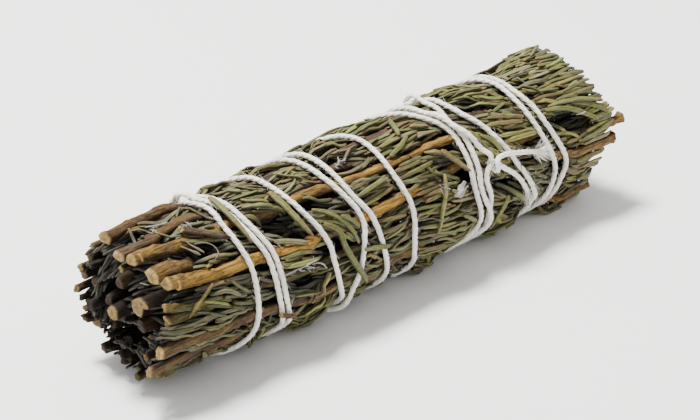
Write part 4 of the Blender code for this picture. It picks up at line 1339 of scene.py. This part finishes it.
def add_stem(stock, sprig, rng, look, sides, pressed=None):
    """A stem with its cut end, knots where the leaves grew, and a closed tip."""
    reach = abs(sprig.tip - sprig.cut)
    count = max(6, int(reach / STEM_STEP))
    zeros = np.zeros(count)
    distance = np.concatenate([CUT_DISTANCES, np.linspace(0.5, reach, count)])
    scale = np.concatenate([CUT_SCALES, zeros + 1.0])
    scale = scale * (1 + look.flare * np.exp(-((distance / 0.7) ** 2)))
    scale[-2:] = TIP_SCALES
    cut = np.concatenate([CUT_MARKS, zeros])
    pith = np.concatenate([PITH_MARKS, zeros])
    x = sprig.cut + sprig.sign * distance
    bends = np.arange(0, reach + BEND_STEP, BEND_STEP)
    angle = sprig.angle_at(x) + np.interp(distance, bends, rng.normal(0, 0.8, len(bends)))
    radius = sprig.radius_at(x) + np.interp(distance, bends, rng.normal(0, 0.10, len(bends)))
    even_x = sprig.cut + sprig.sign * np.linspace(0, reach, len(x))
    _, normal, side = frames(spot(even_x, angle, radius), outward(angle))
    turn = even_turns(sides)
    knots = knots_on(distance, turn, reach, rng)
    wide = (sprig.half_width(x) * scale)[:, None] * uneven(distance, turn, reach, rng)
    wide = wide + knots * np.minimum(scale, 1.0)[:, None] * (1 - cut)[:, None]
    oval = rng.uniform(0.82, 1.0)
    slant = rng.uniform(-0.32, 0.32, 2) * np.exp(-distance / 0.8)[:, None]
    ragged = np.exp(-distance / 0.4)[:, None] * round_smooth(rng.normal(0, 0.14, sides))
    by_side = wide * np.cos(turn)
    by_normal = wide * np.sin(turn) * oval
    by_way = slant[:, :1] * by_side + slant[:, 1:] * by_normal + ragged * scale[:, None]
    points = sweep(spot(x, angle, radius), side, normal, by_side, by_normal)
    points[..., 0] += by_way * sprig.sign
    if pressed:
        keep_under_twine(points, pressed)
    points = over_floor(points)
    stock.add(
        points[None],
        tint=rng.random() if look.tint is None else look.tint,
        cut=np.maximum(cut * look.pale, look.peeled)[None, :, None],
        pith=pith[None, :, None],
        knot=np.clip(knots * 4, 0, 1)[None],
        # Painted shade along the bundle: the stems are darker towards the cut end
        shade=(0.66 + 0.36 * ease((x + 48) / 18))[None, :, None],
        # Painted shade: the mask of the side of each stem that faces into the bundle
        below=(0.5 - 0.5 * np.sin(turn))[None, None, :],
        collar=np.exp(-distance / 0.55)[None, :, None],
        depth=depth_of(points)[None],
    )


# ---------------------------------------------------------------- materials


class Paint:
    """A material built up node by node."""

    def __init__(self, name):
        self.material = bpy.data.materials.new(name)
        self.material.use_nodes = True
        self.tree = self.material.node_tree
        self.shader = self.tree.nodes["Principled BSDF"]
        self.place = self.tree.nodes.new("ShaderNodeTexCoord").outputs["Object"]

    def give(self, socket, value):
        """Links what another node makes, or sets a plain number or colour."""
        if isinstance(value, bpy.types.NodeSocket):
            self.tree.links.new(value, socket)
        elif socket.type == "RGBA":
            socket.default_value = (*value, 1.0)
        else:
            socket.default_value = value

    def value(self, name, output="Fac"):
        """A per-point value of the mesh."""
        found = self.tree.nodes.new("ShaderNodeAttribute")
        found.attribute_name = name
        return found.outputs[output]

    def maths(self, operation, first, second):
        made = self.tree.nodes.new("ShaderNodeMath")
        made.operation = operation
        self.give(made.inputs[0], first)
        self.give(made.inputs[1], second)
        return made.outputs[0]

    def times(self, first, second):
        return self.maths("MULTIPLY", first, second)

    def varied(self, value, noise, size):
        """The value plus or minus up to about half the size, by the noise."""
        return self.maths("ADD", value, self.times(self.maths("SUBTRACT", noise, 0.5), size))

    def noise(self, scale, detail, stretch=(1.0, 1.0, 1.0), rough=0.55, vector=None):
        mapped = self.tree.nodes.new("ShaderNodeMapping")
        mapped.inputs["Scale"].default_value = stretch
        self.give(mapped.inputs["Vector"], vector or self.place)
        made = self.tree.nodes.new("ShaderNodeTexNoise")
        made.inputs["Scale"].default_value = scale
        made.inputs["Detail"].default_value = detail
        made.inputs["Roughness"].default_value = rough
        self.tree.links.new(mapped.outputs[0], made.inputs["Vector"])
        return made.outputs["Fac"]

    def ramp(self, value, stops):
        made = self.tree.nodes.new("ShaderNodeValToRGB")
        elements = made.color_ramp.elements
        while len(elements) < len(stops):
            elements.new(0.5)
        for element, (position, colour) in zip(elements, stops):
            element.position = position
            element.color = (*colour, 1.0)
        self.give(made.inputs["Fac"], value)
        return made.outputs["Color"]

    def grey(self, value, low, high, first=0.0, last=1.0):
        """Maps value from low..high to first..last, held at the ends."""
        made = self.tree.nodes.new("ShaderNodeMapRange")
        for socket, number in zip(made.inputs[1:5], (low, high, first, last)):
            socket.default_value = number
        self.give(made.inputs[0], value)
        return made.outputs[0]

    def mix(self, share, first, second):
        """A colour that goes from first to second as share goes from 0 to 1."""
        made = self.tree.nodes.new("ShaderNodeMix")
        made.data_type = "RGBA"
        first_socket, second_socket = [s for s in made.inputs if s.type == "RGBA"]
        self.give(made.inputs[0], share)
        self.give(first_socket, first)
        self.give(second_socket, second)
        return next(s for s in made.outputs if s.type == "RGBA")

    def scaled(self, colour, value):
        """The colour times a number."""
        made = self.tree.nodes.new("ShaderNodeVectorMath")
        made.operation = "SCALE"
        self.give(made.inputs[0], colour)
        self.give(made.inputs["Scale"], value)
        return made.outputs[0]

    def finish(self, colour, rough, height, strength, distance, specular):
        """The material with this colour, roughness and bump, whose distance is in mm."""
        self.give(self.shader.inputs["Base Color"], colour)
        self.give(self.shader.inputs["Roughness"], rough)
        self.shader.inputs["Specular IOR Level"].default_value = specular
        bump = self.tree.nodes.new("ShaderNodeBump")
        bump.inputs["Strength"].default_value = strength
        bump.inputs["Distance"].default_value = distance * MM
        self.give(bump.inputs["Height"], height)
        self.give(self.shader.inputs["Normal"], bump.outputs[0])
        return self.material


def leaf_paint(name):
    paint = Paint(name)
    depth, hue, rim, along = (paint.value(key) for key in ("depth", "hue", "rim", "along"))
    blotch = paint.noise(420.0, 3.0, (0.35, 1.0, 1.0))
    fine = paint.noise(1900.0, 4.0, (0.3, 1.0, 1.0))
    colour = paint.ramp(paint.varied(paint.value("tint"), blotch, 0.9), LEAF_COLOURS)
    under = paint.times(paint.value("under"), paint.grey(blotch, 0.3, 0.6, 0.35, 0.8))
    for share, laid_over in (
        (paint.times(paint.grey(hue, 0.90, 0.97), 0.8), FRESH_LEAF),
        (paint.times(paint.grey(hue, 0.16, 0.05), 0.75), WITHERED_LEAF),
        (under, LEAF_UNDERSIDE),
        # Painted highlight along the middle of each needle
        (paint.grey(rim, 0.3, 0.0, 0.0, 0.25), LEAF_RIDGE_HIGHLIGHT),
        # Painted shade, darkest at the sides of each needle
        (paint.times(rim, 0.80), LEAF_EDGE_SHADE),
        (paint.grey(along, 0.88, 1.0, 0.0, 0.7), LEAF_TIP),
        (paint.grey(along, 0.16, 0.0, 0.0, 0.6), LEAF_FOOT),
    ):
        colour = paint.mix(share, colour, laid_over)
    # Fine noise in the leaves' tone, times their shade, which holds both their own lightness and the
    # painted shade along the bundle
    light = paint.times(paint.grey(fine, 0.28, 0.72, 0.62, 1.30), paint.value("shade"))
    # Painted shade in the groove along the middle of each needle
    groove = paint.maths("SUBTRACT", 1.0, paint.times(paint.value("middle"), 0.42))
    colour = paint.scaled(colour, paint.times(light, groove))
    # Painted shade: the leaves grow darker and bluer deep inside the bundle
    colour = paint.mix(paint.grey(depth, 0.05, 0.8, 0.0, 0.5), colour, PAINTED_INSIDE_SHADE)
    colour = paint.scaled(colour, paint.grey(depth, 0.05, 0.85, 1.0, 0.42))
    rough = paint.grey(blotch, 0.3, 0.7, 0.48, 0.78)
    return paint.finish(colour, rough, fine, strength=0.55, distance=0.12, specular=0.34)


def stem_paint(name):
    """Bark over pale wood, which shows where the stem is cut or peeled."""
    paint = Paint(name)
    depth = paint.value("depth")
    streak = paint.noise(2300.0, 6.0, (0.08, 1.0, 1.0), 0.72)
    patch = paint.noise(260.0, 3.0, (0.6, 1.0, 1.0), 0.6)
    fibre = paint.noise(6500.0, 3.0, (0.07, 1.0, 1.0), 0.6)
    bark = paint.ramp(paint.varied(paint.value("tint"), patch, 0.8), BARK_COLOURS)
    bark = paint.scaled(bark, paint.grey(streak, 0.40, 0.60, 0.30, 1.60))
    # Painted shade: darker on the side of the stem that faces into the bundle, a little lighter on the
    # outer side
    bark = paint.scaled(bark, paint.grey(paint.value("below"), 0.15, 0.75, 1.08, 0.5))
    collar = paint.times(paint.value("collar"), paint.grey(patch, 0.35, 0.6, 0.2, 0.85))
    for share, laid_over in (
        (paint.grey(fibre, 0.45, 0.37, 0.0, 0.75), BARK_CRACKS),
        (paint.grey(streak, 0.66, 0.74, 0.0, 0.55), BARK_FLAKES),
        (paint.times(paint.value("knot"), 0.6), BARK_KNOTS),
        (collar, BARK_COLLAR),
        # Painted shade: the bark grows darker deep inside the bundle
        (paint.grey(depth, 0.05, 0.8, 0.0, 0.3), PAINTED_INSIDE_SHADE),
    ):
        bark = paint.mix(share, bark, laid_over)
    # More painted shade, darker deep inside the bundle
    bark = paint.scaled(bark, paint.grey(depth, 0.05, 0.85, 1.0, 0.26))
    # Painted shade along the bundle, darker towards the cut end
    bark = paint.scaled(bark, paint.value("shade"))
    wood = paint.ramp(paint.noise(2200.0, 4.0), WOOD_COLOURS)
    wood = paint.mix(paint.times(paint.value("pith"), 0.7), wood, PITH)
    # Painted shade on the cut wood deep inside the bundle
    wood = paint.scaled(wood, paint.grey(depth, 0.1, 1.0, 1.0, 0.55))
    colour = paint.mix(paint.value("cut"), bark, wood)
    rough = paint.grey(streak, 0.3, 0.7, 0.55, 0.82)
    height = paint.maths("ADD", streak, paint.times(fibre, 0.6))
    return paint.finish(colour, rough, height, strength=0.9, distance=0.14, specular=0.14)


def twine_paint(name, bright=1.0, warm=1.0):
    """Pale fibres, with the colour of cotton unless they are darker or warmer."""
    paint = Paint(name)
    fibre = paint.noise(3.0, 4.0, (1.0, 1.0, 0.5), 0.6, paint.value("fibre", "Vector"))
    patch = paint.noise(260.0, 2.0)
    stops = []
    for place, (red, green, blue) in COTTON_COLOURS:
        stops.append((place, (bright * (red * warm), bright * green, bright * (blue / warm))))
    colour = paint.scaled(paint.ramp(fibre, stops), paint.grey(patch, 0.3, 0.7, 0.88, 1.06))
    paint.shader.inputs["Sheen Weight"].default_value = 0.25
    rough = paint.grey(fibre, 0.3, 0.7, 0.95, 0.75)
    return paint.finish(colour, rough, fibre, strength=0.6, distance=0.08, specular=0.2)


def plain_paint(name, colour, roughness):
    paint = Paint(name)
    drift = paint.grey(paint.noise(6.0, 2.0), 0.3, 0.7, 0.985, 1.0)
    paint.give(paint.shader.inputs["Base Color"], paint.scaled(colour, drift))
    paint.shader.inputs["Roughness"].default_value = roughness
    return paint.material


# ---------------------------------------------------------------- the pieces


def make_outer_shell(sprigs, samples, rng):
    """The layer that is seen, pressed in by the twine and with hollows and bare stems."""
    shell = Shell(OUTER_SHELL, OUTER_BASE, 0.0, sprigs, fine=True)
    shell.limit = outline(shell.x[:, None], np.degrees(shell.u / shell.radius)[None, :])
    press_under_twine(shell, samples)
    leave_hollows(shell, rng)
    sunk = CUT_END_SUNK * (1 - ease((shell.x - SUNK_FROM) / SUNK_FADE))[:, None]
    shell.limit = shell.limit - sunk
    for sprig in sprigs:
        shell.add_stem(sprig)
        leave_bare(shell, sprig)
    return shell


def make_inner_shell(sprigs, radius, base, limit, ripple):
    """A layer under the outer one, whose limit rises and falls by the ripple."""
    shell = Shell(radius, base, limit, sprigs)
    wave = np.sin(shell.x[:, None] * 0.35 + 3 * shell.u[None, :] / shell.radius)
    shell.limit = shell.limit + ripple * wave
    for sprig in sprigs:
        shell.add_stem(sprig)
    return shell


def make_sprig(sprig, inner, pressed, rng):
    """The stems and the leaves of one sprig."""
    node = f"sprig_{sprig.number:02d}"
    usual = rng.uniform(0.0, 0.08) if inner else 1.0
    pale = PALE_CUTS.get(sprig.number, usual)
    look = StemLook(STEM_TINTS.get(sprig.number), FLARES.get(sprig.number, 0.0), pale)
    stems = Stock()
    add_stem(stems, sprig, rng, look, INNER_SIDES if inner else STEM_SIDES, pressed)
    for number, diameter, *look, places in BRANCHES:
        if number == sprig.number:
            add_stem(stems, Branch(diameter, places), rng, StemLook(*look), STEM_SIDES, pressed)
    stems.make(f"{node}_stem", stem_material, "rosemary_stem", node)
    leaves = Stock()
    add_leaves(leaves, [leaf for leaf in sprig.leaves if leaf.fine], FINE, rng)
    add_leaves(leaves, [leaf for leaf in sprig.leaves if not leaf.fine], PLAIN, rng)
    leaves.make(f"{node}_leaves", leaf_material, "rosemary_leaf", node)


def raise_twine(shell, samples):
    """Records the twine, so that what is laid later lies over it."""
    x, angle, height = samples
    top = wrap_radius(x) + height + TWINE_RISE
    shell.raise_line(x, shell.u_of(angle), np.full(len(x), TWINE_HALF_WIDTH), top)


def straightened(angle, radius):
    """The radii of a straight stick over the same angles, which touches where that bit is highest."""
    apart = np.radians(angle - angle.mean())
    return (radius * np.cos(apart)).max() / np.cos(apart)


def make_loose_bit(shell, name, width, thick, places, rng):
    x, angle, radius = rest_on(shell, places, width, thick)
    stock = Stock()
    if name in WOODY_BITS:
        tint, peeled = WOODY_BITS[name]
        stick = Branch(width, np.stack([x, angle, straightened(angle, radius)], -1))
        add_stem(stock, stick, rng, StemLook(tint, 0.0, 1.0, peeled), STEM_SIDES)
        stock.make(f"{name}_bark", stem_material, "rosemary_stem", name)
    else:
        radius = soften(np.maximum(radius, LOOSE_LEAST_RADIUS))
        tint = BIT_TINTS.get(name, USUAL_BIT_TINT)
        leaf = Leaf(x, angle, radius, width, thick, rng.normal(0, 10), 20, True, tint)
        add_leaves(stock, [leaf], LONG, rng)
        stock.make(f"{name}_leaf", leaf_material, "rosemary_leaf", name)


def add_shred(stock, shell, width, places, rng):
    """A thin curled strip of dry leaf that lies on the surface."""
    x, angle, radius = rest_on(shell, places, width, SHRED_THICKNESS)
    line = spot(x, angle, soften(np.maximum(radius, SHRED_LEAST_RADIUS)))
    share = np.linspace(0, 1, len(x))
    _, normal, side = frames(line, outward(angle))
    roll = rng.normal(0, 20) + 50 * np.sin(share * 5 + rng.uniform(0, 6))
    normal, side = turned_round(normal, side, np.radians(roll)[:, None])
    turn = even_turns(SHRED_SIDES)
    ends = np.minimum(1, np.minimum(share, 1 - share) * 6 + 0.25)
    wide = width / 2 * (1 + rng.normal(0, 0.12, len(x))) * ends
    thin = 0.09 + width * 0.08
    across = wide[:, None] * np.cos(turn)
    points = sweep(line, side, normal, across, (thin * np.sin(turn))[None, :])
    stock.add(points[None], fibre=points[None] * 2 + rng.random(3) * 9)


def crumb_points(shell, x, angle, rng):
    """The sections of one crumb, which lies slantwise on the surface."""
    at = shell.cells(np.array(x), np.array(math.radians(angle) * shell.radius))
    centre = spot(x, angle, shell.height[at] + 0.1)
    long, wide = rng.uniform(0.15, 0.75), rng.uniform(0.05, 0.12)
    out = outward(np.array(angle)) + rng.normal(0, 0.22, 3)
    way = np.cross(out, rng.normal(0, 1, 3))
    axes = unit(np.stack([way, np.cross(out, way), out]))
    turn = even_turns(CRUMB_SIDES)
    rings = []
    for along, scale in CRUMB_PROFILE:
        across, up = np.cos(turn) * wide * scale, np.sin(turn) * wide * scale * 0.6
        ring = np.stack([np.full(CRUMB_SIDES, along * long), across, up], -1)
        rings.append(ring + rng.normal(0, 0.025, ring.shape))
    return centre + np.array(rings) @ axes


def make_crumbs(shell, rng):
    """Small pale crumbs of leaf on the surface, thicker in a few places, and shreds."""
    points = []
    for index in range(CRUMB_COUNT):
        if index < CRUMB_COUNT * GATHERED:
            x, angle, spread = CRUMBS[index % len(CRUMBS)]
        else:
            x, angle, spread = rng.uniform(-50, 50), rng.uniform(-180, 180), 3.0
        x = x + rng.normal(0, spread / 2)
        angle = angle + math.degrees(rng.normal(0, spread / 2) / shell.radius)
        points.append(crumb_points(shell, x, angle, rng))
    points = over_floor(np.array(points))
    stock = Stock()
    stock.add(points, fibre=rng.random((CRUMB_COUNT, 1, 1, 3)) * 9 + points * 2)
    for width, places in SHREDS:
        add_shred(stock, shell, width, places, rng)
    stock.make("leaf_crumbs", twine_paint("pale_crumbs", bright=0.32), "rosemary_leaf")


def make_straws(shell, rng):
    stock = Stock()
    for width, places in STRAWS:
        add_shred(stock, shell, width, places, rng)
    stock.make("dry_straws", twine_paint("dry_straw", bright=0.15, warm=1.25), "rosemary_stem")


def twine_line(samples):
    """The middle of the twine in the world, a ring's step apart, and how far along each place is."""
    x, angle, height = samples
    line = spot(x, angle, wrap_radius(x) + height)
    line[:, 2] = np.maximum(line[:, 2], TWINE_LOWEST)
    gone = np.concatenate([[0.0], np.cumsum(np.linalg.norm(np.diff(line, axis=0), axis=1))])
    even = np.arange(0.0, gone[-1], RING_STEP)
    place = [np.interp(even, gone, line[:, axis]) for axis in range(3)]
    return np.stack(place, -1), even


def make_twine(samples, rng):
    """The cord of three plies, and its middle line with two directions across it."""
    line, gone = twine_line(samples)
    centre = line - np.array((SHIFT_X, SHIFT_Y, AXIS_HEIGHT))
    _, normal, side = frames(line, unit(centre * np.array((0.0, 1.0, 1.0))))
    stops = np.arange(0, gone[-1] + PITCH_DRIFT_STEP, PITCH_DRIFT_STEP)
    slow = np.interp(gone, stops, rng.normal(0, 1, len(stops)))
    turn = gone / PLY_PITCH * 2 * math.pi + slow * 0.5
    face = even_turns(PLY_SIDES)
    stock = Stock()
    for ply in range(PLIES):
        at = turn + ply / PLIES * 2 * math.pi
        off = PLY_OFFSET * (normal * np.cos(at)[:, None] + side * np.sin(at)[:, None])
        swell = 0.06 * rng.normal(0, 1, (len(line), 1))
        wide = PLY_RADIUS * (1 + swell + rng.normal(0, 0.07, (len(line), PLY_SIDES)))
        wide[[0, -1]] *= 0.3
        points = sweep(line + off, normal, side, wide * np.cos(face), wide * np.sin(face))
        swirl = face[None, :] - turn[:, None] * 2.2
        along = np.broadcast_to(gone[:, None] * 0.25 + ply * 7, swirl.shape)
        fibre = np.stack([np.cos(swirl), np.sin(swirl), along], -1)
        stock.add(over_floor(points)[None], fibre=fibre[None])
    stock.make("twine_cord", twine_paint("cotton_twine"), "twine", "twine")
    return line, normal, side


def add_fibres(stock, starts, ways, lengths, thickness, bend, rng):
    """Thin closed fibres that leave their starts along ways and curl a little."""
    curl = unit(rng.normal(0, 1, (len(starts), 3)))
    share = np.linspace(0, 1, 4)
    gone = share[None, :, None] * lengths[:, None, None]
    curled = share[None, :, None] ** 2 * lengths[:, None, None] * bend
    line = starts[:, None] + ways[:, None] * gone + curl[:, None] * curled
    _, normal, side = frames(line, np.broadcast_to(curl[:, None] + 0.01, line.shape))
    turn = even_turns(FIBRE_SIDES)
    wide = (thickness * (1 - 0.7 * share))[None, :, None]
    points = over_floor(sweep(line, normal, side, wide * np.cos(turn), wide * np.sin(turn)))
    stock.add(points, fibre=points * 2.0)


def make_fuzz(middle, up, across, rng):
    """Loose fibres all along the twine, and a frayed brush at each tail."""
    stock = Stock()
    pick = rng.integers(0, len(middle), FUZZ_COUNT)
    turn = rng.uniform(0, 2 * math.pi, len(pick))[:, None]
    out = up[pick] * np.cos(turn) + across[pick] * np.sin(turn)
    way, _, _ = frames(middle, up)
    either = rng.choice((-1, 1), len(pick))[:, None]
    ways = unit(way[pick] * either + out * rng.uniform(0.05, 0.6, (len(pick), 1)))
    lengths = rng.uniform(0.5, 1.7, len(pick))
    add_fibres(stock, middle[pick] + out * FUZZ_START, ways, lengths, 0.026, 0.35, rng)
    for end, inner, length, flare in TAILS:
        toward = unit(middle[end] - middle[inner])
        off = rng.normal(0, 1, (TAIL_FIBRES, 3)) * flare
        off = off - (off @ toward)[:, None] * toward
        back = toward * rng.uniform(0.2, 2.2, (TAIL_FIBRES, 1))
        lengths = rng.uniform(0.5, 1.0, TAIL_FIBRES) * length
        ways = unit(toward + off)
        add_fibres(stock, middle[end] - back + off * 0.5, ways, lengths, 0.06, 0.12, rng)
    stock.make("twine_fuzz", twine_paint("cotton_fuzz"), "twine", "twine")


# ---------------------------------------------------------------- the bundle

rng = np.random.default_rng(11)
back_rng = np.random.default_rng(5)
fill_rng = np.random.default_rng(7)
leaf_material = leaf_paint("dried_rosemary_leaf")
stem_material = stem_paint("dried_rosemary_stem")

samples = twine_samples()
pressed = Shell(OUTER_SHELL, 0.0, NO_LIMIT)
press_under_twine(pressed, samples)
outer_sprigs = make_outer_sprigs()
middle_sprigs = make_ring(19, 10, radius=7.0, first_angle=18.0, turn=7.0, rng=rng)
core_sprigs = make_ring(29, 4, radius=2.75, first_angle=40.0, turn=-9.0, rng=rng)
layers = {
    "outer": make_outer_shell(outer_sprigs, samples, back_rng),
    "middle": make_inner_shell(middle_sprigs, radius=7.2, base=6.0, limit=10.4, ripple=0.5),
    "core": make_inner_shell(core_sprigs, radius=3.0, base=1.6, limit=5.6, ripple=0.0),
}
outer = layers["outer"]

# Two thick inner stems that show at the cut end
core_sprigs[0].diameter = 2.7
core_sprigs[0].cut = -56.4
core_sprigs[0].radius = 1.7
core_sprigs[0].angle_at = on_slant(32.0, 0.0)
middle_sprigs[1].diameter = 3.0
middle_sprigs[1].cut = -55.4
middle_sprigs[1].angle_at = turned(on_slant(54.0, 7.0), -40.0, -12.0, 8.0)

waves = [
    (rng.uniform(0.05, 0.22), rng.integers(1, 5), rng.uniform(0, 6), 6.0) for _ in range(4)
]
for layer, *numbers in COVERS:
    cover(layers[layer], rng, waves, *numbers)
for layer, *numbers in LAST_COVERS:
    cover(layers[layer], fill_rng, waves, *numbers)
lay_heroes(outer, rng)
lay_back_needles(outer, back_rng)

for sprig in outer_sprigs:
    make_sprig(sprig, False, pressed, rng)
for sprig in middle_sprigs + core_sprigs:
    make_sprig(sprig, True, pressed, rng)
raise_twine(outer, samples)
for name, width, thick, places in LOOSE_BITS:
    make_loose_bit(outer, name, width, thick, places, rng)
make_crumbs(outer, rng)
make_straws(outer, rng)
make_fuzz(*make_twine(samples, rng), rng)


# ---------------------------------------------------------------- floor, camera and light


def make_floor():
    half = FLOOR_SIZE / 2
    corners = [(-half, -half, 0.0), (half, -half, 0.0), (half, half, 0.0), (-half, half, 0.0)]
    mesh = bpy.data.meshes.new("floor")
    mesh.from_pydata(corners, [], [(0, 1, 2, 3)])
    mesh.materials.append(plain_paint("pale_floor", (0.95, 0.95, 0.95), 0.9))
    floor = bpy.data.objects.new("floor", mesh)
    bpy.context.scene.collection.objects.link(floor)


def make_camera():
    lens = bpy.data.cameras.new("camera")
    lens.lens = LENS
    lens.sensor_width = 36.0
    lens.clip_start = 0.05
    camera = bpy.data.objects.new("camera", lens)
    camera.matrix_world = Matrix((RIGHT, UP, BACK)).transposed().to_4x4()
    camera.location = AIM - RIGHT * CAMERA_LEFT - UP * CAMERA_DOWN + BACK * CAMERA_DISTANCE
    bpy.context.scene.collection.objects.link(camera)
    bpy.context.scene.camera = camera


def make_world():
    world = bpy.data.worlds.new("studio")
    world.use_nodes = True
    background = world.node_tree.nodes["Background"]
    background.inputs["Color"].default_value = (1.0, 1.0, 1.0, 1.0)
    background.inputs["Strength"].default_value = 0.92
    bpy.context.scene.world = world


def add_light(name, toward, distance, size, energy, colour):
    """A soft square light that faces the bundle."""
    light = bpy.data.lights.new(name, "AREA")
    light.size = size
    light.energy = energy
    light.color = colour
    lamp = bpy.data.objects.new(name, light)
    lamp.location = AIM + toward.normalized() * distance
    lamp.rotation_euler = toward.to_track_quat("Z", "Y").to_euler()
    bpy.context.scene.collection.objects.link(lamp)


make_floor()
make_camera()
make_world()
toward_light = -0.3 * RIGHT + 0.95 * UP + 0.35 * BACK
add_light("key", toward_light, distance=0.6, size=0.16, energy=11.2, colour=(1.0, 0.98, 0.95))
